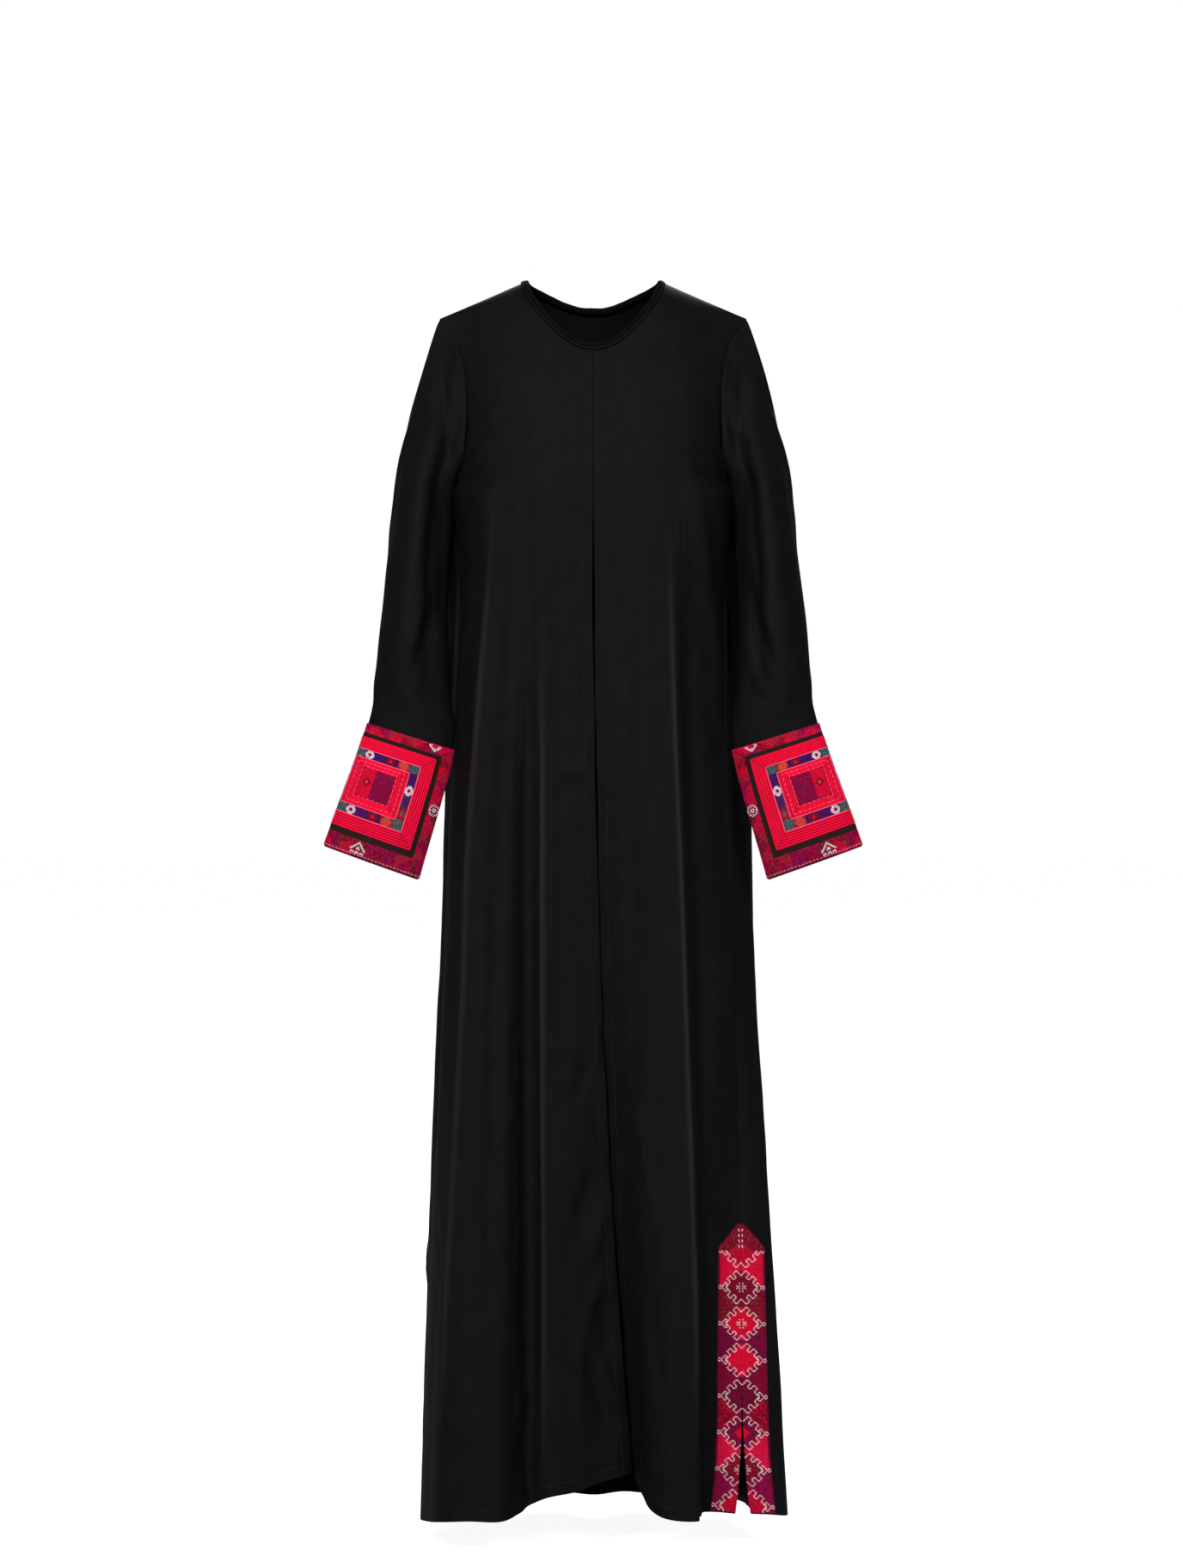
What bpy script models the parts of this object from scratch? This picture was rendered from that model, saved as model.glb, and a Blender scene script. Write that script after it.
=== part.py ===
"""A long black abaya, hollow and standing open in the form it has when it is worn.

The open front meets edge to edge down the middle. Each long sleeve ends in an embroidered square, and a
pointed embroidered strip frames the slit low on the wearer's left side seam.

Units are metres. +X is the wearer's left, -Y is the front and +Z is up. Heights in the tables are above
the lowest point of the front hem. The origin is the middle of the wearer's shoulders, and every solid is
lowered onto it at the end.
"""

import math

import bpy
import numpy as np
from mathutils import Vector
from mathutils.bvhtree import BVHTree

# Cloth and sewing
CLOTH = 0.0012
EMBROIDERY = 0.0014
SEAM_GAP = 0.0003
SLEEVE_GAP = 0.0006
LAID_ON = 0.0005

# The wearer's build, as heights above the hem and places round the neck and arms
SHOULDER_HEIGHT = 1.460
UNDERARM_HEIGHT = 1.239
SHOULDER_TIP = np.array((0.187, 0.004, 1.440))
NECK_CORNER = np.array((0.082, 0.004, 1.486))
FRONT_NECK_REACH = 0.074
BACK_NECK_REACH = 0.046
NECK_ROUNDNESS = 2.1
NECK_TURN = 39.0
NECK_EXTRA_TURN = 37.4

# The outline round the body at the underarm
BUST_HALF_WIDTH = 0.157
BUST_FRONT = 0.120
BUST_BACK = 0.106
BUST_SQUARENESS = 2.6
SIDE_BULGE = 0.005
ARMPIT_REACH = 0.012
ARMPIT_SPREAD = 15.0
ARMPIT_DROP = 0.040
FULLNESS_TURN = 113.0
FULLNESS_SPREAD = 10.0
FULLNESS_REACH = 0.031
FULLNESS_FULL = 0.04
FULLNESS_END = 0.55

# How the yoke rolls over the shoulder, as steps from a column's top and bottom to its two curve handles
YOKE_HANDLES = {
    "centre front": ((0.0, -0.052, -0.022), (0.0, 0.0, 0.060)),
    "neck corner front": ((0.004, -0.060, -0.012), (0.0, 0.0, 0.080)),
    "side front": ((0.0, -0.012, -0.050), (0.004, 0.0, 0.070)),
    "centre back": ((0.0, 0.050, -0.016), (0.0, 0.004, 0.100)),
    "neck corner back": ((0.004, 0.058, -0.010), (0.0, 0.004, 0.100)),
    "side back": ((0.0, 0.012, -0.050), (0.004, 0.0, 0.080)),
}
SHOULDER_ROLL = 2.0

# How far the armhole cuts into the panels, in degrees of turn, from the shoulder down to the underarm
ARMHOLE_CUT = (
    # share, front, back
    (0.00, 0.0, 0.0),
    (0.12, 5.0, 4.0),
    (0.28, 11.0, 9.0),
    (0.45, 15.5, 13.0),
    (0.62, 18.0, 15.5),
    (0.78, 18.0, 16.0),
    (0.89, 13.0, 11.5),
    (1.00, 0.0, 0.0),
)

# Folds of the skirt, from the wearer's left front edge round the back to the right front edge.
# Turn is the angle round the bust where a fold starts, with 0 at the middle of the front and 90 at the
# wearer's left. Across and depth are where it reaches the hem, lift is how high the hem hangs there, and
# fall is 1 for a straight fold and more for one that swings out low down.
FOLDS = (
    # name, turn, across, depth, lift, fall
    ("left front edge", 0.0, 0.050, -0.115, 0.040, 2.2),
    ("left turn back", 8.0, 0.059, -0.141, 0.027, 1.8),
    ("left fold rise", 17.0, 0.072, -0.170, 0.008, 1.35),
    ("left crown", 28.0, 0.097, -0.184, 0.001, 1.0),
    ("left fold edge", 40.5, 0.126, -0.182, 0.000, 1.0),
    ("left pleat wall", 45.5, 0.128, -0.158, 0.002, 1.0),
    ("left pleat floor", 54.0, 0.134, -0.131, 0.004, 1.0),
    ("left trim side", 70.0, 0.151, -0.124, 0.003, 1.0),
    ("left slit", 90.0, 0.179, -0.124, 0.001, 1.0),
    ("left behind slit", 97.0, 0.204, -0.122, 0.000, 1.0),
    ("left side", 104.0, 0.229, -0.110, -0.003, 1.0),
    ("left flank", 113.0, 0.224, -0.046, -0.006, 1.0),
    ("left hollow", 123.0, 0.194, 0.004, -0.010, 1.0),
    ("left back fold", 133.0, 0.190, 0.074, -0.014, 1.0),
    ("left back crown", 142.0, 0.163, 0.137, -0.015, 1.0),
    ("left back hollow", 153.0, 0.113, 0.124, -0.014, 1.0),
    ("back fold", 163.0, 0.084, 0.174, -0.015, 1.0),
    ("back crown", 172.0, 0.040, 0.190, -0.014, 1.0),
    ("back hollow", 181.0, 0.003, 0.148, -0.012, 1.0),
    ("back second fold", 190.0, -0.040, 0.184, -0.014, 1.0),
    ("back second crown", 199.0, -0.081, 0.180, -0.015, 1.0),
    ("right back hollow", 209.0, -0.112, 0.134, -0.014, 1.0),
    ("right back fold", 219.0, -0.152, 0.152, -0.014, 1.0),
    ("right back crown", 229.0, -0.184, 0.108, -0.012, 1.0),
    ("right hollow", 241.0, -0.181, 0.058, -0.010, 1.0),
    ("right flank", 255.0, -0.204, 0.028, -0.012, 1.0),
    ("right seam", 270.0, -0.209, -0.006, -0.014, 1.0),
    ("right side", 284.0, -0.209, -0.052, -0.014, 1.0),
    ("right side front", 296.0, -0.201, -0.110, -0.010, 1.0),
    ("right ridge", 309.0, -0.179, -0.168, -0.003, 1.0),
    ("right crown", 314.5, -0.150, -0.184, 0.000, 1.0),
    ("right crown end", 320.0, -0.108, -0.184, 0.000, 1.0),
    ("right pleat wall", 323.5, -0.091, -0.160, 0.005, 1.0),
    ("right pleat floor", 328.0, -0.075, -0.134, 0.013, 1.0),
    ("right crease", 333.0, -0.059, -0.143, 0.021, 1.0),
    ("right panel", 344.0, -0.018, -0.134, 0.029, 1.3),
    ("right panel edge", 353.0, 0.022, -0.117, 0.041, 1.8),
    ("right front edge", 360.0, 0.047, -0.107, 0.047, 2.2),
)
LEFT_SEAM_TURN = 90.0
RIGHT_SEAM_TURN = 270.0

# How far apart the front edges hang, at heights above the hem
FRONT_OPENING = (
    # height, gap
    (1.40, 0.0004),
    (1.21, 0.0006),
    (1.10, 0.0030),
    (0.965, 0.0008),
    (0.88, 0.0024),
    (0.70, 0.0012),
    (0.30, 0.0030),
    (0.00, 0.0050),
)

# Slit and its embroidered strips
SLIT_HEIGHT = 0.250
SLIT_OPENING = 0.0185
SLIT_CURL = 3.0
STRIP_WIDTH = 0.032
STRIP_POINT_HEIGHT = 0.345
STRIP_SHOULDER_DROP = 0.029
STRIP_TIP = 0.12
STRIP_HEM = 0.0012
STRIP_COLUMNS = 8

# Sleeve rings below the armhole. Tilt is how far a ring's outer side is raised, in degrees. Press is 1 for
# an oval ring, and more for one that is pressed flat, with a fold at each side.
SLEEVE_RINGS = (
    # name, across, depth, height, half width, half depth, tilt, press
    ("biceps", 0.2070, -0.006, 1.212, 0.0335, 0.069, 11.0, 1.0),
    ("elbow", 0.2160, -0.029, 1.080, 0.0405, 0.064, 7.0, 1.0),
    ("forearm", 0.2180, -0.052, 0.995, 0.0460, 0.046, 10.0, 1.15),
    ("cuff seam", 0.2200, -0.071, 0.930, 0.0540, 0.024, 17.4, 1.5),
    ("cuff hem", 0.2675, -0.078, 0.778, 0.0605, 0.015, 19.8, 1.6),
)
SLEEVE_CAP_SLOPE = np.array((0.33, 0.0, -0.94))
UNDERARM_SLOPE = np.array((0.66, 0.0, -0.75))
SLEEVE_CAP_STEPS = (0.0, 0.06, 0.14, 0.26, 0.40, 0.56, 0.76, 1.0)
SLEEVE_ROWS_BETWEEN = 3

# Long folds down each sleeve, pressed in or standing out, with turn 0 outermost and 90 at the front
SLEEVE_FOLDS = (
    # name, turn, spread, depth, starts, ends
    ("front hollow", 128.0, 22.0, -0.0120, 0.06, 0.60),
    ("front ridge", 88.0, 24.0, 0.0050, 0.05, 0.62),
    ("back hollow", 246.0, 24.0, -0.0100, 0.14, 0.62),
    ("back ridge", 286.0, 26.0, 0.0050, 0.10, 0.66),
)

# The embroidered panel on each cuff: a border, a braid round it, and a raised middle
CUFF_SIDE_BORDER = 0.0165
CUFF_TOP_BORDER = 0.0150
CUFF_BOTTOM_BORDER = 0.0205
CUFF_BRAID = 0.0065
CUFF_MIDDLE_WIDTH = 0.132
CUFF_MIDDLE_HEIGHT = 0.113
CUFF_BRAID_RISE = 0.0004
CUFF_MIDDLE_RISE = 0.0009
CUFF_STEP = 0.0010
CUFF_HEM = 0.0015
CUFF_TURN_UNDER = 0.0015

NECK_BAND_WIDTH = 0.008
NECK_BAND_THICKNESS = 0.0010
NECK_BAND_LIFT = 0.0013
NECK_BAND_EDGE_LIFT = 0.0007

# How finely each stretch is divided
YOKE_ROWS = 9
SKIRT_ROWS = (0.0, 0.014, 0.040, 0.085, 0.145, 0.215, 0.300, 0.390, 0.480, 0.570, 0.655, 0.735, 0.805, 0.870, 0.935, 1.0)
COLUMNS_PER_FOLD = 2
COLUMNS_BEFORE_FOLD = 5
COLUMNS_BEHIND_FOLD = 2
MIDDLE_ROWS = 4
CUFF_BACK_COLUMNS = 7

BLACK = (0.010, 0.010, 0.011, 1.0)
CRIMSON = (0.520, 0.012, 0.060, 1.0)


def named_column(table, column):
    return np.array([row[column] for row in table], float)


def unit(vectors):
    """Vectors of length one, along the last axis."""
    length = np.linalg.norm(vectors, axis=-1, keepdims=True)
    return vectors / np.maximum(length, 1e-12)


def ease(share):
    """From 0 to 1 with a soft start and end."""
    t = min(max(share, 0.0), 1.0)
    return t * t * (3.0 - 2.0 * t)


def bezier(start, first_handle, second_handle, end, v):
    """A point on a cubic curve at v from 0 to 1."""
    u = 1.0 - v
    return u**3 * start + 3 * u * u * v * first_handle + 3 * u * v * v * second_handle + v**3 * end


def spline(knots, values, places):
    """A smooth curve through values at knots, read at places, with slopes from each knot's neighbours."""
    steps = np.diff(knots)
    chords = np.diff(values, axis=0) / steps[:, None]
    slopes = np.empty_like(values)
    slopes[0], slopes[-1] = chords[0], chords[-1]
    before, after = steps[:-1, None], steps[1:, None]
    slopes[1:-1] = (chords[:-1] * after + chords[1:] * before) / (before + after)
    span = np.clip(np.searchsorted(knots, places, side="right") - 1, 0, len(knots) - 2)
    width = steps[span][:, None]
    t = ((places - knots[span]) / steps[span])[:, None]
    rise, fall = t * t * (3 - 2 * t), 1 - t * t * (3 - 2 * t)
    bend = width * (t * (1 - t) ** 2 * slopes[span] - t * t * (1 - t) * slopes[span + 1])
    return fall * values[span] + rise * values[span + 1] + bend


# The outline round the body


def bust_outline(turn):
    """A point of the outline at the underarm, for a turn in degrees."""
    angle = math.radians(turn)
    across, ahead = math.sin(angle), math.cos(angle)
    depth = BUST_FRONT if ahead > 0 else BUST_BACK
    power = BUST_SQUARENESS
    share = (abs(across) / BUST_HALF_WIDTH) ** power + (abs(ahead) / depth) ** power
    radius = share ** (-1.0 / power)
    return np.array((radius * across, -radius * ahead, UNDERARM_HEIGHT))


def fold_places():
    """How far along the hem each fold of the table lies, so that the hem curve is read evenly."""
    hem = np.stack([named_column(FOLDS, 2), named_column(FOLDS, 3)], axis=1)
    return np.concatenate([[0.0], np.cumsum(np.linalg.norm(np.diff(hem, axis=0), axis=1))])


FOLD_PLACES = fold_places()
FOLD_TURNS = named_column(FOLDS, 1)
HEM_POINTS = np.stack([named_column(FOLDS, c) for c in (2, 3, 4)], axis=1)
FOLD_FALLS = named_column(FOLDS, 5)


def place_of_turn(turn):
    return float(np.interp(turn, FOLD_TURNS, FOLD_PLACES))


def columns_between(first_turn, last_turn):
    """Places along the hem of a panel's columns: each fold, its divisions, and the neck corner."""
    start, end = place_of_turn(first_turn), place_of_turn(last_turn)
    places = set()
    for near, far in zip(FOLD_PLACES[:-1], FOLD_PLACES[1:]):
        for part in range(COLUMNS_PER_FOLD + 1):
            places.add(round(near + (far - near) * part / COLUMNS_PER_FOLD, 6))
    inside = [p for p in places if start + 1e-6 < p < end - 1e-6]
    for turn in around_the_neck(NECK_TURN):
        corner = place_of_turn(turn)
        if start < corner < end:
            nearest = min(inside, key=lambda p: abs(p - corner))
            inside[inside.index(nearest)] = corner
    for turn in around_the_neck(NECK_EXTRA_TURN):
        extra = place_of_turn(turn)
        if start < extra < end and min(abs(p - extra) for p in inside) > 0.001:
            inside.append(extra)
    return np.array([start] + sorted(inside) + [end])


def around_the_neck(off_centre):
    """The same turn off the centre line in all four quarters."""
    return (off_centre, 180 - off_centre, 180 + off_centre, 360 - off_centre)


def half_opening(height):
    """Half the gap between the front edges."""
    heights, gaps = named_column(FRONT_OPENING, 0), named_column(FRONT_OPENING, 1)
    return 0.5 * np.interp(height, heights[::-1], gaps[::-1])


def half_slit(height):
    """Half the gap between the slit's two edges."""
    share = max(0.0, (SLIT_HEIGHT - height) / SLIT_HEIGHT)
    return 0.5 * SLIT_OPENING * share**SLIT_CURL


def skirt_point(place, share):
    """A point of the skirt: place along the hem, share from 0 at the underarm to 1 at the hem."""
    turn = float(np.interp(place, FOLD_PLACES, FOLD_TURNS))
    hem = spline(FOLD_PLACES, HEM_POINTS, np.array([place]))[0]
    fall = float(np.interp(place, FOLD_PLACES, FOLD_FALLS))
    bust = bust_outline(turn)
    swing = share**fall
    bulge = SIDE_BULGE * math.sin(math.pi * share) * abs(math.sin(math.radians(turn)))
    side = 1.0 if turn < 180 else -1.0
    seam = LEFT_SEAM_TURN if turn < 180 else RIGHT_SEAM_TURN
    drop = (UNDERARM_HEIGHT - hem[2]) * share
    armpit = ARMPIT_REACH * math.exp(-(((turn - seam) / ARMPIT_SPREAD) ** 2) - drop / ARMPIT_DROP)
    from_front = turn if turn < 180 else 360 - turn
    fullness = FULLNESS_REACH * ease(share / FULLNESS_FULL) * (1.0 - ease(share / FULLNESS_END))
    fullness *= math.exp(-(((from_front - FULLNESS_TURN) / FULLNESS_SPREAD) ** 2))
    across = bust[0] + (hem[0] - bust[0]) * swing + side * (bulge + armpit + fullness)
    depth = bust[1] + (hem[1] - bust[1]) * share
    return np.array((across, depth, UNDERARM_HEIGHT - drop))


# The yoke, from the neckline and the shoulder seam down to the underarm


def split_turn(turn):
    """Which side of the wearer a turn lies on, whether in front, and how far off the centre line."""
    side = 1.0 if turn < 180 else -1.0
    from_front = turn if turn <= 180 else 360 - turn
    in_front = from_front <= 90
    return side, in_front, from_front if in_front else 180 - from_front


def shoulder_line(off_centre, side):
    """The top of the shoulders. Between the neck corners it runs on, over the open neck, in a low arch."""
    across = SHOULDER_TIP[0] * off_centre / 90.0
    slope = (NECK_CORNER[2] - SHOULDER_TIP[2]) / (SHOULDER_TIP[0] - NECK_CORNER[0])
    height = NECK_CORNER[2] - slope * (across - NECK_CORNER[0])
    if across < NECK_CORNER[0]:
        height = NECK_CORNER[2] + slope * (NECK_CORNER[0] ** 2 - across**2) / (2 * NECK_CORNER[0])
    return np.array((side * across, NECK_CORNER[1], height))


def yoke_handles(side, in_front, off_centre):
    """The two curve handles of a column, as steps from its ends."""
    where = "front" if in_front else "back"
    if off_centre <= NECK_TURN:
        names, share = (f"centre {where}", f"neck corner {where}"), off_centre / NECK_TURN
        weights = (ease(share),) * 2
    else:
        names, share = (f"neck corner {where}", f"side {where}"), (off_centre - NECK_TURN) / (90 - NECK_TURN)
        weights = (share**SHOULDER_ROLL,) * 2
    near, far = (np.array(YOKE_HANDLES[name]) for name in names)
    mirror = np.array((side, 1.0, 1.0))
    return [(near[i] + (far[i] - near[i]) * weights[i]) * mirror for i in (0, 1)]


def neck_share(curve, off_centre, in_front):
    """How far down its curve a column starts: nothing on the shoulder, and at the round neckline inside it."""
    inside = off_centre / NECK_TURN
    if inside >= 1.0 - 1e-6:
        return 0.0
    reach = FRONT_NECK_REACH if in_front else BACK_NECK_REACH
    wanted = reach * (1.0 - inside**NECK_ROUNDNESS) ** (1.0 / NECK_ROUNDNESS)
    near, far = 0.0, 0.9
    for _ in range(40):
        middle = (near + far) / 2
        if abs(bezier(*curve, middle)[1] - NECK_CORNER[1]) < wanted:
            near = middle
        else:
            far = middle
    return near


def yoke_point(place, share, back_side):
    """A point of the yoke. Columns near a side seam lean away from it, by the depth of the armhole."""
    turn = float(np.interp(place, FOLD_PLACES, FOLD_TURNS))
    side, _, off_centre = split_turn(turn)
    cuts = named_column(ARMHOLE_CUT, 2 if back_side else 1)
    beside = max(0.0, (off_centre - NECK_TURN) / (90 - NECK_TURN))
    off_centre -= float(np.interp(share, named_column(ARMHOLE_CUT, 0), cuts)) * beside**2
    from_front = 180 - off_centre if back_side else off_centre
    bottom_place = place_of_turn(from_front if side > 0 else 360 - from_front)
    bottom, below = (skirt_point(bottom_place, SKIRT_ROWS[n]) for n in (0, 1))
    top = shoulder_line(off_centre, side)
    first, second = yoke_handles(side, not back_side, off_centre)
    second = second + (bottom - below) * (second[2] / (bottom[2] - below[2])) * np.array((1.0, 1.0, 0.0))
    curve = (top, top + first, bottom + second, bottom)
    start = neck_share(curve, off_centre, not back_side)
    return bezier(*curve, start + (1.0 - start) * share)


def body_grid(first_turn, last_turn, back_side):
    """The outer face of a panel, as rows from the neck down and columns round the body."""
    places = columns_between(first_turn, last_turn)
    yoke = [[yoke_point(p, r / YOKE_ROWS, back_side) for p in places] for r in range(YOKE_ROWS)]
    skirt = [[skirt_point(p, share) for p in places] for share in SKIRT_ROWS]
    return np.array(yoke + skirt)


def part_front_edges(grid, at_start, side):
    """Moves a front edge, and its neighbours less, aside by half the front opening."""
    columns = range(3) if at_start else range(-1, -4, -1)
    for n, column in enumerate(columns):
        for row in grid:
            row[column][0] += side * half_opening(row[column][2]) * (1.0 - n / 3.0)


def part_slit(grid, column_step, side):
    """Opens one side of the slit: the edge column moves by half the slit, and its neighbours less."""
    edge = -1 if column_step < 0 else 0
    for n in range(4):
        column = edge + column_step * n
        for row in grid:
            row[column][0] += side * half_slit(row[column][2]) * (1.0 - n / 4.0) ** 1.5


# Sleeves


def ring_outline(half_width, half_depth, press, turns):
    """How far out and how far ahead of its middle a ring reaches, at each turn."""
    ahead = np.sign(np.sin(turns)) * np.abs(np.sin(turns)) ** press
    return np.stack([half_width * np.cos(turns), half_depth * ahead], axis=1)


def cuff_outline():
    """Turns round the cuff's hem, and how far along its outline each of them lies."""
    _, _, _, _, half_width, half_depth, _, press = SLEEVE_RINGS[-1]
    turns = np.linspace(0.0, 2 * math.pi, 1441)
    points = ring_outline(half_width, half_depth, press, turns)
    return turns, np.concatenate([[0.0], np.cumsum(np.linalg.norm(np.diff(points, axis=0), axis=1))])


def cuff_arcs():
    """Distances round the cuff of the sleeve's columns, from the underarm side over the front and the fold."""
    start = CUFF_SIDE_BORDER + CUFF_BRAID
    end = start + CUFF_MIDDLE_WIDTH
    fold = cuff_outline()[1][-1] / 2 + CUFF_TURN_UNDER
    arcs = [0.0, CUFF_SIDE_BORDER] + list(np.linspace(start, fold, COLUMNS_BEFORE_FOLD + 1))
    arcs += list(np.linspace(fold, end, COLUMNS_BEHIND_FOLD + 1))[1:]
    return arcs + [end + CUFF_BRAID, end + CUFF_BRAID + CUFF_SIDE_BORDER]


def cuff_turns():
    """Turns of the cuff's columns, so that they lie the wanted distances apart round it."""
    arcs = cuff_arcs()
    turns, along = cuff_outline()
    around = along[-1]
    wanted = [around / 2 + CUFF_TURN_UNDER - arc for arc in arcs]
    left = around - arcs[-1]
    wanted += [wanted[-1] - left * n / CUFF_BACK_COLUMNS for n in range(1, CUFF_BACK_COLUMNS)]
    return np.array([np.interp(w % around, along, turns) + 2 * math.pi * math.floor(w / around) for w in wanted])


def ring_points(ring, turns):
    """A sleeve ring's points, for turns from 0 outermost over 90 degrees at the front."""
    _, across, depth, height, half_width, half_depth, tilt, press = ring
    lean = math.radians(tilt)
    axes = np.array(((math.cos(lean), 0.0, math.sin(lean)), (0.0, -1.0, 0.0)))
    return np.array((across, depth, height)) + ring_outline(half_width, half_depth, press, turns) @ axes


def armhole_ring(front_column, back_column):
    """The armhole's points in the sleeve's order: from the underarm up the front and down the back."""
    up_front = front_column[YOKE_ROWS::-1]
    down_back = back_column[1:YOKE_ROWS]
    return np.concatenate([up_front, down_back])


def sleeve_grid(armhole):
    """The outer face of the wearer's left sleeve, as rows from the armhole down and columns round it."""
    count = len(armhole)
    even = np.array([math.pi - 2 * math.pi * n / count for n in range(count)])
    at_cuff = cuff_turns()
    knots = np.arange(len(SLEEVE_RINGS), dtype=float)
    sizes = np.array([ring[1:] for ring in SLEEVE_RINGS])
    first_ring = ring_points(SLEEVE_RINGS[0], even)
    grid = []
    under = (0.5 + 0.5 * np.cos(2 * math.pi * np.arange(count) / count))[:, None] ** 2
    for step in SLEEVE_CAP_STEPS[:-1]:
        chord = first_ring - armhole
        reach = np.linalg.norm(chord, axis=1)[:, None]
        slope = SLEEVE_CAP_SLOPE + (UNDERARM_SLOPE - SLEEVE_CAP_SLOPE) * under
        leave = armhole + slope * reach * 0.34
        arrive = first_ring - unit(sizes[1][:3] - sizes[0][:3]) * reach * 0.30
        grid.append(bezier(armhole, leave, arrive, first_ring, step))
    above_cuff = len(SLEEVE_RINGS) - 2
    rows = [n / SLEEVE_ROWS_BETWEEN for n in range(above_cuff * SLEEVE_ROWS_BETWEEN)]
    distances = cuff_row_distances()
    rows += [above_cuff + distance / distances[-1] for distance in distances]
    for knot in rows:
        size = spline(knots, sizes, np.array([knot]))[0]
        blend = min(1.0, knot / above_cuff)
        blend = blend * blend * (3 - 2 * blend)
        grid.append(ring_points(("", *size), even + (at_cuff - even) * blend))
    return np.array(grid)


def cuff_row_distances():
    """Distances of the sleeve's rows below the cuff seam, down to the hem."""
    rows = [0.0, CUFF_TOP_BORDER, CUFF_TOP_BORDER + CUFF_BRAID]
    rows += [rows[-1] + CUFF_MIDDLE_HEIGHT * n / MIDDLE_ROWS for n in range(1, MIDDLE_ROWS + 1)]
    rows += [rows[-1] + CUFF_BRAID, rows[-1] + CUFF_BRAID + CUFF_BOTTOM_BORDER]
    return rows + [rows[-1] + CUFF_HEM]


def press_sleeve_folds(grid, normals):
    """Presses the long folds of the table into a sleeve, fading at both ends."""
    row_count, column_count = grid.shape[:2]
    for _, turn, spread, depth, starts, ends in SLEEVE_FOLDS:
        middle = (180.0 - turn) / 360.0 * column_count
        for r in range(row_count):
            share = r / (row_count - 1)
            fade = max(0.0, math.sin(math.pi * min(max((share - starts) / (ends - starts), 0.0), 1.0)))
            for c in range(column_count):
                off = (c - middle + column_count / 2) % column_count - column_count / 2
                away = off * 360.0 / column_count / spread
                grid[r, c] += normals[r, c] * depth * fade * math.exp(-away * away)


# Walls


BODY_ROWS = YOKE_ROWS + len(SKIRT_ROWS)


def shared_normals(grids, closed):
    """Outward directions at each grid's points. Points that lie together on two grids share one."""
    sums = {}
    for grid, is_tube in zip(grids, closed):
        across = np.concatenate([grid, grid[:, :1]], axis=1) if is_tube else grid
        a, b, c, d = across[:-1, :-1], across[:-1, 1:], across[1:, 1:], across[1:, :-1]
        faces = np.cross(d - b, c - a)
        for corner in (a, b, c, d):
            for point, face in zip(corner.reshape(-1, 3), faces.reshape(-1, 3)):
                key = tuple(np.round(point, 5))
                sums[key] = sums.get(key, 0.0) + face
    found = []
    for grid in grids:
        flat = [sums[tuple(np.round(point, 5))] for point in grid.reshape(-1, 3)]
        found.append(unit(np.array(flat)).reshape(grid.shape))
    return found


def join_shoulder(grid, normals):
    """Stands the wall upright along the shoulder seam, so that front and back end in one plane."""
    slope = (NECK_CORNER[2] - SHOULDER_TIP[2]) / (SHOULDER_TIP[0] - NECK_CORNER[0])
    for column in range(grid.shape[1]):
        point = grid[0, column]
        if abs(point[1] - NECK_CORNER[1]) < 1e-5:
            normals[0, column] = unit(np.array((math.copysign(slope, point[0]), 0.0, 1.0)))


def join_armhole(sleeve, directions, panels, panel_directions):
    """Mitres the armhole seam where it stands out, and lifts the sleeve off the panel where it folds in."""
    at_seam = {}
    for grid, normals, column in panels_at_armhole(panels, panel_directions):
        for row in range(YOKE_ROWS + 1):
            at_seam.setdefault(tuple(np.round(grid[row, column], 5)), []).append((normals, row, column))
    for n, point in enumerate(sleeve[0].copy()):
        found = at_seam.get(tuple(np.round(point, 5)), [])
        if not found:
            continue
        normals, row, column = found[0]
        own = normals[row, column].copy()
        rise = float(np.dot(unit(sleeve[1, n] - point), own))
        if rise > 0.0:
            sleeve[0, n] = point + own * 1.5 * SEAM_GAP * min(1.0, rise * 3.0)
        mitre = unit(own + directions[0, n])
        directions[0, n] = mitre
        for normals, row, column in found:
            normals[row, column] = mitre


def panels_at_armhole(panels, panel_directions):
    """The armhole columns of the left front, the back and the right front."""
    columns = ((0, -1), (1, 0), (1, -1), (2, 0))
    return [(panels[i], panel_directions[i], column) for i, column in columns]


def draw_in(grid, edges, by):
    """The grid with its named edges moved in along the cloth, so that seamed pieces stay apart."""
    moved = grid.copy()
    if "left" in edges:
        moved[:, 0] += unit(grid[:, 1] - grid[:, 0]) * by
    if "right" in edges:
        moved[:, -1] += unit(grid[:, -2] - grid[:, -1]) * by
    if "top" in edges:
        on_seam = np.abs(grid[0, :, 1] - NECK_CORNER[1]) < 1e-5
        along = unit(grid[1] - grid[0])
        aside = np.sign(along[:, 1:2]) * np.array((0.0, 1.0, 0.0))
        moved[0] += np.where(on_seam[:, None] & (len(grid) == BODY_ROWS), aside, along) * by
    if "bottom" in edges:
        moved[-1] += unit(grid[-2] - grid[-1]) * by
    return moved


def split_square(points, corners):
    """Two triangles for a square of the wall, along its shorter diagonal."""
    a, b, c, d = corners
    first = np.linalg.norm(points[a] - points[c]) <= np.linalg.norm(points[b] - points[d])
    return [(a, b, c), (a, c, d)] if first else [(a, b, d), (b, c, d)]


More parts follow.
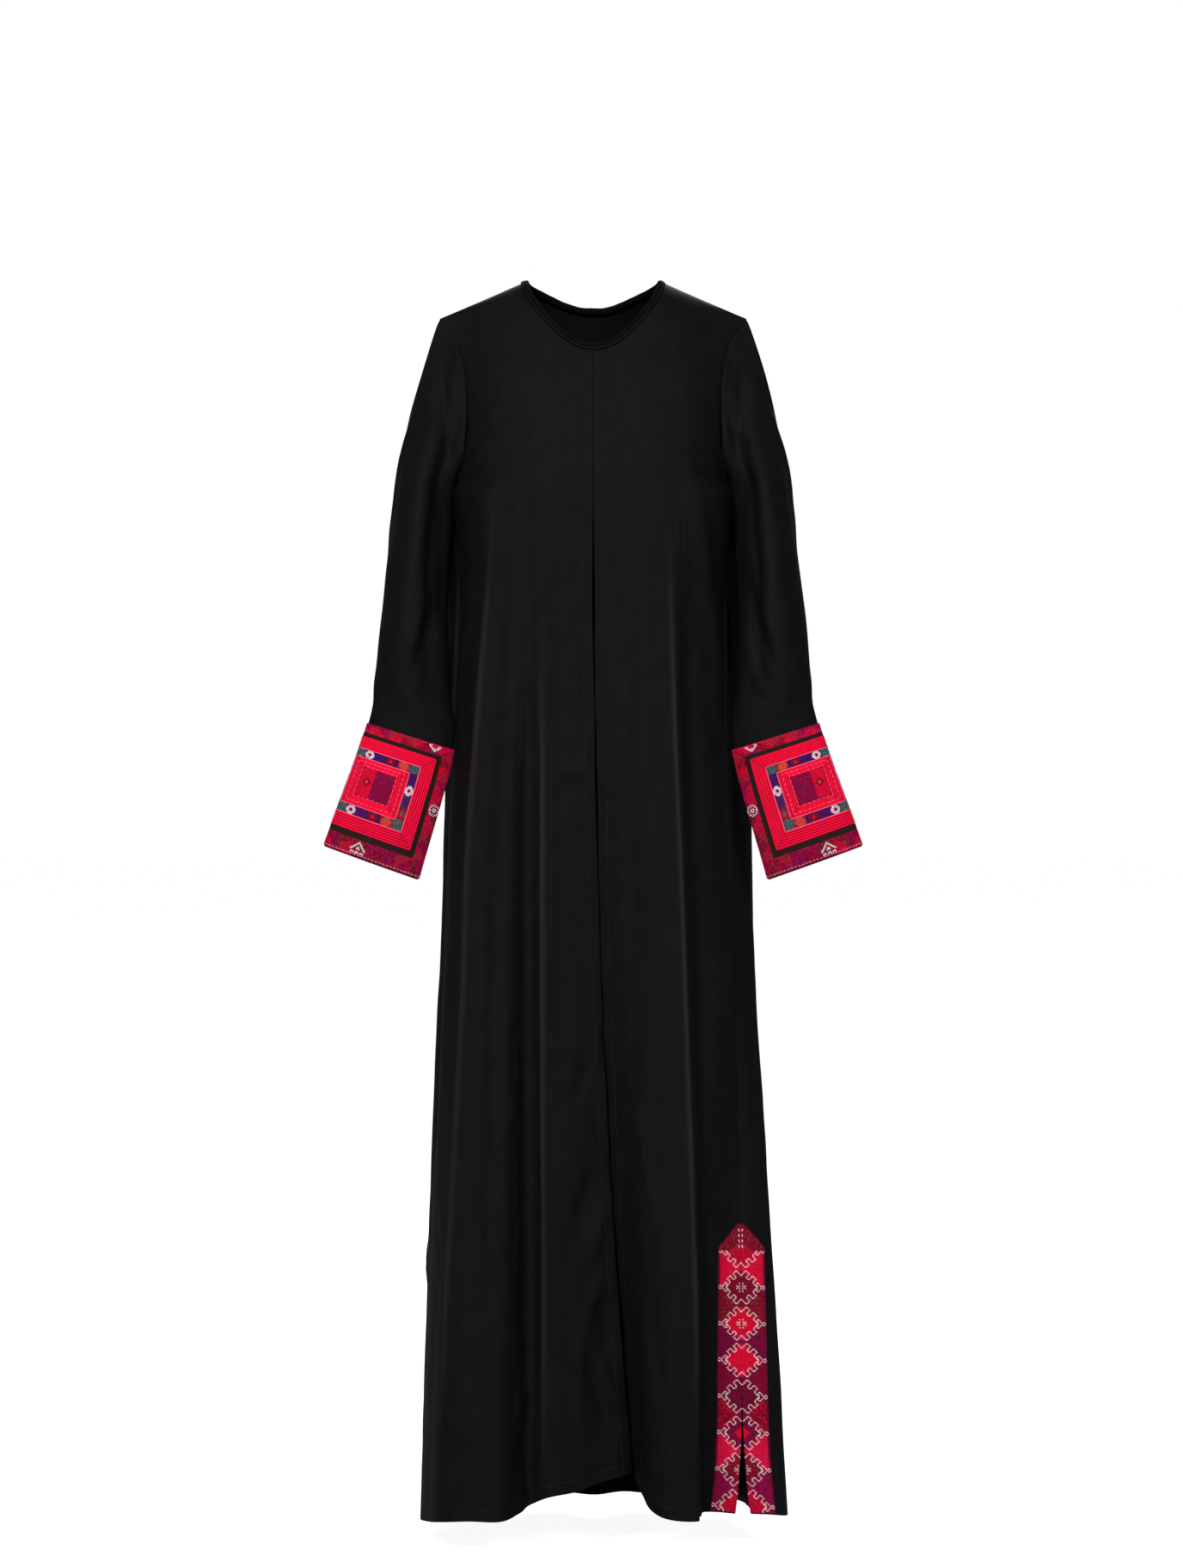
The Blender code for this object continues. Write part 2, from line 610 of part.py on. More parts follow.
def wall_mesh(name, outer, inner, is_tube, colour, roughness):
    """A closed wall between an outer and an inner face, as one object."""
    rows, columns = outer.shape[:2]
    points = np.concatenate([outer.reshape(-1, 3), inner.reshape(-1, 3)]) - (0.0, 0.0, SHOULDER_HEIGHT)
    count = rows * columns
    wrap = columns if is_tube else columns - 1
    faces = []
    for r in range(rows - 1):
        for c in range(wrap):
            near, far = r * columns + c, r * columns + (c + 1) % columns
            for triangle in split_square(points, (near, near + columns, far + columns, far)):
                faces.append(triangle)
                faces.append(tuple(corner + count for corner in reversed(triangle)))
    for c in range(wrap):
        near, far = c, (c + 1) % columns
        faces.append((near, far, far + count, near + count))
        near, far = near + (rows - 1) * columns, far + (rows - 1) * columns
        faces.append((far, near, near + count, far + count))
    if not is_tube:
        for r in range(rows - 1):
            near, far = r * columns, (r + 1) * columns
            faces.append((far, near, near + count, far + count))
            near, far = near + columns - 1, far + columns - 1
            faces.append((near, far, far + count, near + count))
    mesh = bpy.data.meshes.new(name)
    mesh.from_pydata([tuple(p) for p in points], [], faces)
    mesh.update()
    piece = bpy.data.objects.new(name, mesh)
    bpy.context.scene.collection.objects.link(piece)
    mesh.materials.append(cloth_material(name + "_cloth", colour, roughness))
    mesh.shade_smooth()
    return piece


def cloth_material(name, colour, roughness):
    material = bpy.data.materials.new(name)
    material.use_nodes = True
    shader = material.node_tree.nodes["Principled BSDF"]
    shader.inputs["Base Color"].default_value = colour
    shader.inputs["Roughness"].default_value = roughness
    shader.inputs["Metallic"].default_value = 0.0
    return material


def cloth_panel(name, grid, normals, edges, is_tube=False):
    outer = draw_in(grid, edges, SLEEVE_GAP if is_tube else SEAM_GAP / 2)
    return wall_mesh(name, outer, outer - normals * CLOTH, is_tube, BLACK, 0.75)


def read_grid(grid, row, column):
    """A point of a grid, or of its normals, between its rows and columns."""
    r = min(int(row), grid.shape[0] - 2)
    c = min(int(column), grid.shape[1] - 2)
    v, u = row - r, column - c
    upper = grid[r, c] * (1 - u) + grid[r, c + 1] * u
    lower = grid[r + 1, c] * (1 - u) + grid[r + 1, c + 1] * u
    return upper * (1 - v) + lower * v


# Trims that lie on the cloth


def row_at_height(grid, column, height):
    heights = grid[:, column, 2]
    return float(np.interp(-height, -heights, np.arange(len(heights))))


def strip_top(width):
    """The height of the strip's pointed top, at a distance from the slit."""
    slant = max(0.0, width / STRIP_WIDTH - STRIP_TIP) / (1.0 - STRIP_TIP)
    return STRIP_POINT_HEIGHT - STRIP_SHOULDER_DROP * slant


def place_on_row(grid, normals, row, width, from_start):
    """A point of the cloth on a row, at a distance from the slit, and the cloth's direction there."""
    near = int(min(row, len(grid) - 2))
    share = row - near
    line = grid[near] * (1 - share) + grid[near + 1] * share
    line_normals = normals[near] * (1 - share) + normals[near + 1] * share
    if not from_start:
        line, line_normals = line[::-1], line_normals[::-1]
    along = np.concatenate([[0.0], np.cumsum(np.linalg.norm(np.diff(line, axis=0), axis=1))])
    point = np.array([np.interp(width, along, line[:, axis]) for axis in range(3)])
    direction = np.array([np.interp(width, along, line_normals[:, axis]) for axis in range(3)])
    return point, unit(direction)


def slit_strip(name, grid, normals, from_start):
    """One half of the slit's embroidered strip: along the slit's edge, with a slanting top."""
    edge_column = 0 if from_start else -1
    widths = [SEAM_GAP + (STRIP_WIDTH - SEAM_GAP) * n / STRIP_COLUMNS for n in range(STRIP_COLUMNS + 1)]
    first_whole = math.ceil(row_at_height(grid, edge_column, STRIP_POINT_HEIGHT - STRIP_SHOULDER_DROP - 0.004))
    last_row = row_at_height(grid, edge_column, STRIP_HEM + grid[-1, edge_column, 2])
    whole_rows = list(range(first_whole, len(grid) - 1)) + [last_row]
    outer, inner = [], []
    top_steps = 5
    for step in range(top_steps + len(whole_rows)):
        outer_row, inner_row = [], []
        for width in widths:
            if step < top_steps:
                top = row_at_height(grid, edge_column, strip_top(width))
                row = top + (whole_rows[0] - top) * step / top_steps
            else:
                row = whole_rows[step - top_steps]
            point, direction = place_on_row(grid, normals, row, width, from_start)
            inner_row.append(point + direction * LAID_ON)
            outer_row.append(point + direction * (LAID_ON + EMBROIDERY))
        outer.append(outer_row if from_start else outer_row[::-1])
        inner.append(inner_row if from_start else inner_row[::-1])
    return wall_mesh(name, np.array(outer), np.array(inner), False, CRIMSON, 0.8)


def stepped(places, breaks):
    """Places along one way of the patch, with a second place just past each break for a step up or down."""
    return sorted(set(places) | {b + CUFF_STEP for b in breaks[:2]} | {b - CUFF_STEP for b in breaks[2:]})


def cuff_patch(name, sleeve, normals):
    """The embroidered panel: a border, a braid round it and a raised middle, over a plain inside."""
    arcs = cuff_arcs()
    downs = cuff_row_distances()[:-1]
    across_breaks = (arcs[1], arcs[2], arcs[-3], arcs[-2])
    down_breaks = (downs[1], downs[2], downs[-3], downs[-2])
    first_row = len(sleeve) - len(downs) - 1
    outer, inner = [], []
    for down in stepped(downs, down_breaks):
        outer_row, inner_row = [], []
        for arc in stepped(arcs, across_breaks):
            row = first_row + float(np.interp(down, downs, np.arange(len(downs))))
            column = float(np.interp(arc, arcs, np.arange(len(arcs))))
            point, normal = read_grid(sleeve, row, column), unit(read_grid(normals, row, column))
            rise = cuff_rise(arc, across_breaks, down, down_breaks)
            inner_row.append(point + normal * LAID_ON)
            outer_row.append(point + normal * (LAID_ON + EMBROIDERY + rise))
        outer.append(outer_row)
        inner.append(inner_row)
    return wall_mesh(name, np.array(outer), np.array(inner), False, CRIMSON, 0.8)


def cuff_rise(arc, across_breaks, down, down_breaks):
    """How far the embroidery stands up at a place of the cuff's patch."""
    inside_braid = across_breaks[0] < arc < across_breaks[3] and down_breaks[0] < down < down_breaks[3]
    in_middle = across_breaks[1] < arc < across_breaks[2] and down_breaks[1] < down < down_breaks[2]
    if in_middle:
        return CUFF_MIDDLE_RISE
    return CUFF_BRAID_RISE if inside_braid else 0.0


def cloth_surface(grids):
    """The outer faces of some panels, to find the nearest place of the cloth on."""
    points, faces = [], []
    for grid in grids:
        rows, columns = grid.shape[:2]
        first = len(points)
        points += [Vector(point) for point in grid.reshape(-1, 3)]
        for r in range(rows - 1):
            for c in range(columns - 1):
                near = first + r * columns + c
                faces.append((near, near + columns, near + columns + 1, near + 1))
    return BVHTree.FromPolygons(points, faces)


def with_middles(values):
    """The values with one more half way between each two."""
    found = np.repeat(values, 2, axis=0)[:-1]
    found[1::2] = (values[:-1] + values[1:]) / 2
    return found


def neck_band(edge, surface):
    """The binding: a strip folded over the neckline's edge, from one front edge round to the other."""
    near, thick, lift = NECK_BAND_EDGE_LIFT, NECK_BAND_THICKNESS, NECK_BAND_LIFT
    points = with_middles(np.array([point for point, _ in edge]))
    normals = unit(with_middles(np.array([normal for _, normal in edge])))
    along = unit(np.cross(normals, unit(np.gradient(points, axis=0))))
    if along[0, 2] > 0:
        along = -along
    far, far_normals = points.copy(), normals.copy()
    for n, wanted in enumerate(points + along * NECK_BAND_WIDTH):
        place, direction, _, _ = surface.find_nearest(Vector(wanted))
        far[n], far_normals[n] = place, direction
    back_off = points - along * near
    back_off_far = points - along * (near + thick)
    inner = [far + far_normals * lift, back_off + normals * near]
    inner += [back_off - normals * (CLOTH + near), far - far_normals * (CLOTH + lift)]
    outer = [far + far_normals * (lift + thick), back_off_far + normals * (near + thick)]
    outer += [back_off_far - normals * (CLOTH + near + thick), far - far_normals * (CLOTH + lift + thick)]
    return wall_mesh("neck_band", np.array(outer)[::-1], np.array(inner)[::-1], False, BLACK, 0.7)


def mirrored_grid(grid):
    """A grid reflected to the wearer's right, with its columns reversed so that it still faces out."""
    return (grid * np.array((-1.0, 1.0, 1.0)))[:, ::-1]


def clear_scene():
    for item in list(bpy.data.objects):
        bpy.data.objects.remove(item, do_unlink=True)


def build():
    clear_scene()
    left_front = body_grid(0.0, LEFT_SEAM_TURN, False)
    back = body_grid(LEFT_SEAM_TURN, RIGHT_SEAM_TURN, True)
    right_front = body_grid(RIGHT_SEAM_TURN, 360.0, False)
    left_hole = armhole_ring(left_front[:, -1], back[:, 0])
    right_hole = armhole_ring(right_front[:, 0], back[:, -1]) * np.array((-1.0, 1.0, 1.0))
    left_sleeve = sleeve_grid(left_hole)
    right_sleeve = sleeve_grid(right_hole)
    for sleeve in (left_sleeve, right_sleeve):
        press_sleeve_folds(sleeve, shared_normals([sleeve], [True])[0])
    right_sleeve = mirrored_grid(right_sleeve)
    panels = [left_front, back, right_front]
    normals = shared_normals(panels, [False, False, False])
    for panel, directions in zip(panels, normals):
        join_shoulder(panel, directions)
    sleeves = [left_sleeve, right_sleeve]
    sleeve_normals = [shared_normals([sleeve], [True])[0] for sleeve in sleeves]
    for sleeve, directions in zip(sleeves, sleeve_normals):
        join_armhole(sleeve, directions, panels, normals)
    part_front_edges(left_front, True, 1.0)
    part_front_edges(right_front, False, -1.0)
    part_slit(left_front, -1, -1.0)
    part_slit(back, 1, 1.0)

    cloth_panel("front_left", left_front, normals[0], ("top", "right"))
    cloth_panel("back", back, normals[1], ("top", "left", "right"))
    cloth_panel("front_right", right_front, normals[2], ("top", "left"))
    cloth_panel("sleeve_left", left_sleeve, sleeve_normals[0], ("top",), is_tube=True)
    cloth_panel("sleeve_right", right_sleeve, sleeve_normals[1], ("top",), is_tube=True)
    slit_strip("slit_strip_front", left_front, normals[0], False)
    slit_strip("slit_strip_back", back, normals[1], True)
    cuff_patch("cuff_patch_left", left_sleeve, sleeve_normals[0])
    right_patch = cuff_patch("cuff_patch_right", mirrored_grid(right_sleeve), mirrored_grid(sleeve_normals[1]))
    for vertex in right_patch.data.vertices:
        vertex.co.x = -vertex.co.x
    right_patch.data.flip_normals()
    add_neck_band(left_front, back, right_front, normals)


def add_neck_band(left_front, back, right_front, normals):
    """Finds the columns of each panel that start on the neckline, and binds them."""
    places = [columns_between(0.0, 90.0), columns_between(90.0, 270.0), columns_between(270.0, 360.0)]
    corners = [place_of_turn(t) for t in (NECK_TURN, 180 - NECK_TURN, 180 + NECK_TURN, 360 - NECK_TURN)]
    close = 2e-6
    left = [i for i, p in enumerate(places[0]) if p <= corners[0] + close]
    middle = [i for i, p in enumerate(places[1]) if corners[1] - close <= p <= corners[2] + close]
    right = [i for i, p in enumerate(places[2]) if p >= corners[3] - close]
    edge = [(left_front[0, i], normals[0][0, i]) for i in left]
    edge += [(back[0, i], normals[1][0, i]) for i in middle[1:-1]]
    edge += [(right_front[0, i], normals[2][0, i]) for i in right]
    neck_band(edge, cloth_surface([left_front, back, right_front]))


build()
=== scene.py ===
# %% [markdown]
# # A long black abaya with embroidered cuffs and an embroidered slit
#
# The real garment is a loose robe of fine black crepe. It hangs from the shoulders, its two fronts meet
# edge to edge, and the only colour is the embroidery on the cuffs and round one slit. This lesson dresses
# its plain solid model in three layers: thin cloth with its folds, then the sewing, then the embroidery.
#
# The solid model comes in first and stays where it is. Every piece below is made round it.

import math

import bpy
import numpy as np
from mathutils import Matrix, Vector
from mathutils.bvhtree import BVHTree


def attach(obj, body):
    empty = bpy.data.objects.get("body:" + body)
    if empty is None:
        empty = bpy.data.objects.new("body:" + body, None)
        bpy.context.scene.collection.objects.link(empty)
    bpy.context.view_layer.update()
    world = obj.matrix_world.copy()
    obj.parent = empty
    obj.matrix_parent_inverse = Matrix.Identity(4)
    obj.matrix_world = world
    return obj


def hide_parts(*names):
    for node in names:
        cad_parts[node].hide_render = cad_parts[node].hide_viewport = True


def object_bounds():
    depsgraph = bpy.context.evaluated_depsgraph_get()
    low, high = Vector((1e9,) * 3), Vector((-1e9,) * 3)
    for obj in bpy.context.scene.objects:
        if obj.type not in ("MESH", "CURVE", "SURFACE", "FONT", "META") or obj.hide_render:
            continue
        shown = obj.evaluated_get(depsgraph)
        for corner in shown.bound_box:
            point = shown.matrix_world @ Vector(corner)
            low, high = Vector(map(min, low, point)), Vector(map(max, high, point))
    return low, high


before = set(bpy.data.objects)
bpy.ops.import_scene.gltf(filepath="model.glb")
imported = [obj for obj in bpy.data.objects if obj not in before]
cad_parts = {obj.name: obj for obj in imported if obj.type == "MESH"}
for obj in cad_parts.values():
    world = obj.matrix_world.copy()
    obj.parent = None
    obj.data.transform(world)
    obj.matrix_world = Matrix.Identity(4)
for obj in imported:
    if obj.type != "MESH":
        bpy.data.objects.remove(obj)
SOLID_BOX = [[float(value) for value in corner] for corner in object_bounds()]
print("solid model, lowest and highest corner:", SOLID_BOX)

# %% [markdown]
# ## Camera
#
# The garment is seen square from the front, from far enough away that both sleeves look flat on. The lens
# follows from two plain facts: the distance, and the height that the picture takes in there. Heights are
# given above the lowest point of the front hem, because that is how a tailor measures. The model's zero is
# at the shoulders, SHOULDER_HEIGHT further up.

# %% Camera
SHOULDER_HEIGHT = 1.460
CAMERA_DISTANCE = 6.5
CAMERA_ACROSS = -0.002
CAMERA_HEIGHT = 0.873
VIEW_HEIGHT = 1.9097
SENSOR = 36.0


def put_in_scene(name, data):
    """A new object for some data, added to the scene."""
    thing = bpy.data.objects.new(name, data)
    bpy.context.scene.collection.objects.link(thing)
    return thing


camera_data = bpy.data.cameras.new("front_camera")
camera_data.sensor_fit = "VERTICAL"
camera_data.sensor_height = SENSOR
camera_data.lens = SENSOR * CAMERA_DISTANCE / VIEW_HEIGHT
camera = put_in_scene("front_camera", camera_data)
camera.location = (CAMERA_ACROSS, -CAMERA_DISTANCE, CAMERA_HEIGHT - SHOULDER_HEIGHT)
camera.rotation_euler = (math.radians(90.0), 0.0, 0.0)
bpy.context.scene.camera = camera
print("lens", round(camera_data.lens, 1), "mm")

# %% [markdown]
# ## Floor and light
#
# Black cloth shows its folds only where soft light grazes it. A plain white surrounding alone would wash
# them out, because it lights every side alike. So the surrounding is white to look at but gives little
# light, and large soft lights, one of them much stronger, draw a highlight along each fold. The floor
# is made in the same way: white to look at, as an overexposed studio floor is, with only a faint shadow.

# %% Floor and light
FLOOR_DROP, FLOOR_REACH = 0.022, 60.0
SKY_SEEN, SKY_LIGHT = 1.0, 0.15
FLOOR_GLOW, FLOOR_GREY = 0.93, 0.45
WHITE = (1.0, 1.0, 1.0, 1.0)
LIGHT_SIZE = 1.9
AIM = Vector((0.0, 0.0, -0.65))
SOFT_LIGHTS = (
    # name, place, power
    ("key", (-1.9, -4.5, 2.5), 245.0),
    ("fill", (2.5, -4.6, 1.6), 120.0),
    ("back", (0.8, 4.4, 3.2), 200.0),
    ("back fill", (-0.9, 4.6, 2.2), 80.0),
)

bpy.context.scene.view_settings.view_transform = "Standard"
surrounding = bpy.data.worlds.new("white_surrounding")
surrounding.use_nodes = True
background = surrounding.node_tree.nodes["Background"]
background.inputs["Color"].default_value = WHITE
bpy.context.scene.world = surrounding


def seen_or_lit(tree, seen, lit, target):
    """Gives a socket one value for what the eye sees, and another for the light that it sends."""
    path = tree.nodes.new("ShaderNodeLightPath")
    choice = tree.nodes.new("ShaderNodeMapRange")
    choice.inputs["To Min"].default_value = lit
    choice.inputs["To Max"].default_value = seen
    tree.links.new(path.outputs["Is Camera Ray"], choice.inputs["Value"])
    tree.links.new(choice.outputs["Result"], target)


seen_or_lit(surrounding.node_tree, SKY_SEEN, SKY_LIGHT, background.inputs["Strength"])

for light_name, place, power in SOFT_LIGHTS:
    lamp = bpy.data.lights.new(light_name + "_light", "AREA")
    lamp.size = LIGHT_SIZE
    lamp.energy = power
    lamp_object = put_in_scene(light_name + "_light", lamp)
    lamp_object.location = place
    lamp_object.rotation_euler = (AIM - Vector(place)).to_track_quat("-Z", "Y").to_euler()

floor_mesh = bpy.data.meshes.new("floor")
floor_level = SOLID_BOX[0][2] - FLOOR_DROP
reach_signs = ((-1, -1), (1, -1), (1, 1), (-1, 1))
floor_corners = [(x * FLOOR_REACH, y * FLOOR_REACH, floor_level) for x, y in reach_signs]
floor_mesh.from_pydata(floor_corners, [], [(0, 1, 2, 3)])
floor = put_in_scene("floor", floor_mesh)
floor_look = bpy.data.materials.new("white_floor")
floor_look.use_nodes = True
floor_shader = floor_look.node_tree.nodes["Principled BSDF"]
floor_shader.inputs["Base Color"].default_value = (FLOOR_GREY, FLOOR_GREY, FLOOR_GREY, 1.0)
floor_shader.inputs["Roughness"].default_value = 1.0
floor_shader.inputs["Specular IOR Level"].default_value = 0.0
floor_shader.inputs["Emission Color"].default_value = WHITE
seen_or_lit(floor_look.node_tree, FLOOR_GLOW, 0.0, floor_shader.inputs["Emission Strength"])
floor_mesh.materials.append(floor_look)
print("floor at", round(floor_level, 4))

# %% [markdown]
# ## The wearer's shape and the hang of the skirt
#
# Worn cloth takes its form from two curves: the outline round the chest, and the wavy line of the hem.
# Each fold in the table starts at a turn round the chest and ends at a place on the hem, so a fold is one
# named row that can be moved by hand. Everything between is a smooth curve through the rows. The same
# rows shape the solid model, which is why cloth made from them lies exactly on it.

# %% Measures of the body and the table of folds
UNDERARM_HEIGHT = 1.239
SHOULDER_TIP = np.array((0.187, 0.004, 1.440))
NECK_CORNER = np.array((0.082, 0.004, 1.486))
FRONT_NECK_REACH, BACK_NECK_REACH = 0.074, 0.046
NECK_ROUNDNESS = 2.1
NECK_TURN = 39.0

BUST_HALF_WIDTH, BUST_FRONT, BUST_BACK = 0.157, 0.120, 0.106
BUST_SQUARENESS = 2.6
SIDE_BULGE = 0.005
ARMPIT_REACH, ARMPIT_SPREAD, ARMPIT_DROP = 0.012, 15.0, 0.040
FULLNESS_TURN, FULLNESS_SPREAD, FULLNESS_REACH = 113.0, 10.0, 0.031
FULLNESS_FULL, FULLNESS_END = 0.04, 0.55

YOKE_HANDLES = {
    "centre front": ((0.0, -0.052, -0.022), (0.0, 0.0, 0.060)),
    "neck corner front": ((0.004, -0.060, -0.012), (0.0, 0.0, 0.080)),
    "side front": ((0.0, -0.012, -0.050), (0.004, 0.0, 0.070)),
    "centre back": ((0.0, 0.050, -0.016), (0.0, 0.004, 0.100)),
    "neck corner back": ((0.004, 0.058, -0.010), (0.0, 0.004, 0.100)),
    "side back": ((0.0, 0.012, -0.050), (0.004, 0.0, 0.080)),
}
SHOULDER_ROLL = 2.0

ARMHOLE_CUT = (
    # share of the way down, degrees cut from the front, degrees cut from the back
    (0.00, 0.0, 0.0),
    (0.12, 5.0, 4.0),
    (0.28, 11.0, 9.0),
    (0.45, 15.5, 13.0),
    (0.62, 18.0, 15.5),
    (0.78, 18.0, 16.0),
    (0.89, 13.0, 11.5),
    (1.00, 0.0, 0.0),
)

FOLDS = (
    # name, turn, across, depth, lift, fall
    ("left front edge", 0.0, 0.050, -0.115, 0.040, 2.2),
    ("left turn back", 8.0, 0.059, -0.141, 0.027, 1.8),
    ("left fold rise", 17.0, 0.072, -0.170, 0.008, 1.35),
    ("left crown", 28.0, 0.097, -0.184, 0.001, 1.0),
    ("left fold edge", 40.5, 0.126, -0.182, 0.000, 1.0),
    ("left pleat wall", 45.5, 0.128, -0.158, 0.002, 1.0),
    ("left pleat floor", 54.0, 0.134, -0.131, 0.004, 1.0),
    ("left trim side", 70.0, 0.151, -0.124, 0.003, 1.0),
    ("left slit", 90.0, 0.179, -0.124, 0.001, 1.0),
    ("left behind slit", 97.0, 0.204, -0.122, 0.000, 1.0),
    ("left side", 104.0, 0.229, -0.110, -0.003, 1.0),
    ("left flank", 113.0, 0.224, -0.046, -0.006, 1.0),
    ("left hollow", 123.0, 0.194, 0.004, -0.010, 1.0),
    ("left back fold", 133.0, 0.190, 0.074, -0.014, 1.0),
    ("left back crown", 142.0, 0.163, 0.137, -0.015, 1.0),
    ("left back hollow", 153.0, 0.113, 0.124, -0.014, 1.0),
    ("back fold", 163.0, 0.084, 0.174, -0.015, 1.0),
    ("back crown", 172.0, 0.040, 0.190, -0.014, 1.0),
    ("back hollow", 181.0, 0.003, 0.148, -0.012, 1.0),
    ("back second fold", 190.0, -0.040, 0.184, -0.014, 1.0),
    ("back second crown", 199.0, -0.081, 0.180, -0.015, 1.0),
    ("right back hollow", 209.0, -0.112, 0.134, -0.014, 1.0),
    ("right back fold", 219.0, -0.152, 0.152, -0.014, 1.0),
    ("right back crown", 229.0, -0.184, 0.108, -0.012, 1.0),
    ("right hollow", 241.0, -0.181, 0.058, -0.010, 1.0),
    ("right flank", 255.0, -0.204, 0.028, -0.012, 1.0),
    ("right seam", 270.0, -0.209, -0.006, -0.014, 1.0),
    ("right side", 284.0, -0.209, -0.052, -0.014, 1.0),
    ("right side front", 296.0, -0.201, -0.110, -0.010, 1.0),
    ("right ridge", 309.0, -0.179, -0.168, -0.003, 1.0),
    ("right crown", 314.5, -0.150, -0.184, 0.000, 1.0),
    ("right crown end", 320.0, -0.108, -0.184, 0.000, 1.0),
    ("right pleat wall", 323.5, -0.091, -0.160, 0.005, 1.0),
    ("right pleat floor", 328.0, -0.075, -0.134, 0.013, 1.0),
    ("right crease", 333.0, -0.059, -0.143, 0.021, 1.0),
    ("right panel", 344.0, -0.018, -0.134, 0.029, 1.3),
    ("right panel edge", 353.0, 0.022, -0.117, 0.041, 1.8),
    ("right front edge", 360.0, 0.047, -0.107, 0.047, 2.2),
)
LEFT_SEAM_TURN, RIGHT_SEAM_TURN = 90.0, 270.0

FRONT_OPENING = (
    # height, and how far the two front edges stand apart there
    (1.40, 0.0004),
    (1.21, 0.0006),
    (1.10, 0.0030),
    (0.965, 0.0008),
    (0.88, 0.0024),
    (0.70, 0.0004),
    (0.30, -0.0008),
    (0.0, -0.0020),
)
SLIT_HEIGHT, SLIT_OPENING, SLIT_CURL = 0.250, 0.0185, 4.0
print(len(FOLDS), "rows of folds")

# %% [markdown]
# ## Curves through the tables
#
# A table gives a handful of places, and cloth needs thousands. One smooth curve reads every table, so no
# row leaves a corner in the cloth. All the helpers work on whole arrays of places at once, which keeps a
# dense mesh quick to make.

# %% Reading the tables smoothly


def named_column(table, column):
    return np.array([row[column] for row in table], float)


def unit(vectors):
    return vectors / np.maximum(np.linalg.norm(vectors, axis=-1, keepdims=True), 1e-12)


def lengths_along(points):
    """How far each point of a line lies along it."""
    return np.concatenate([[0.0], np.cumsum(np.linalg.norm(np.diff(points, axis=0), axis=1))])


def ease(share):
    t = np.clip(share, 0.0, 1.0)
    return t * t * (3.0 - 2.0 * t)


def smooth_through(knots, values, places):
    """A curve through values at knots, read at an array of places."""
    values = values.reshape(len(knots), -1)
    steps = np.diff(knots)
    chords = np.diff(values, axis=0) / steps[:, None]
    slopes = np.empty_like(values)
    slopes[0], slopes[-1] = chords[0], chords[-1]
    before, after = steps[:-1, None], steps[1:, None]
    slopes[1:-1] = (chords[:-1] * after + chords[1:] * before) / (before + after)
    flat = np.asarray(places, float).ravel()
    span = np.clip(np.searchsorted(knots, flat, side="right") - 1, 0, len(knots) - 2)
    width = steps[span][:, None]
    t = ((flat - knots[span]) / steps[span])[:, None]
    rise = t * t * (3 - 2 * t)
    bend = width * (t * (1 - t) ** 2 * slopes[span] - t * t * (1 - t) * slopes[span + 1])
    found = (1 - rise) * values[span] + rise * values[span + 1] + bend
    return found.reshape(*np.shape(places), -1)


def bezier(start, first_handle, second_handle, end, v):
    v = np.asarray(v)[..., None]
    u = 1.0 - v
    return u**3 * start + 3 * u * u * v * first_handle + 3 * u * v * v * second_handle + v**3 * end


hem_line = np.stack([named_column(FOLDS, 2), named_column(FOLDS, 3)], axis=1)
FOLD_PLACES = lengths_along(hem_line)
HEM_POINTS = np.stack([named_column(FOLDS, column) for column in (2, 3, 4)], axis=1)
every_place = np.linspace(0.0, FOLD_PLACES[-1], 6001)
every_turn = smooth_through(FOLD_PLACES, named_column(FOLDS, 1), every_place)[:, 0]


def turn_of_place(place):
    return np.interp(place, every_place, every_turn)


def place_of_turn(turn):
    return np.interp(turn, every_turn, every_place)


print("the hem is", round(float(FOLD_PLACES[-1]), 3), "m round")

# %% [markdown]
# ## The skirt and the yoke
#
# Below the arms each line of cloth runs nearly straight from the chest to the hem. Above them it rolls
# over the shoulder, so the upper part is drawn with cubic curves whose handles say how round the roll is.
# The armhole is cut by leaning the lines nearest the side away from it. The neckline is found on each line
# by halving a stretch of it until the wanted reach in front of the neck is met.

# %% The skirt and the yoke
JUST_BELOW = 0.014
LAST_NECK_SHARE, NECK_HALVINGS = 0.9, 30


def bust_outline(turn):
    """The outline round the chest at the underarm."""
    across, ahead = np.sin(np.radians(turn)), np.cos(np.radians(turn))
    depth = np.where(ahead > 0, BUST_FRONT, BUST_BACK)
    share = (np.abs(across) / BUST_HALF_WIDTH) ** BUST_SQUARENESS + (np.abs(ahead) / depth) ** BUST_SQUARENESS
    radius = share ** (-1.0 / BUST_SQUARENESS)
    return radius * across, -radius * ahead


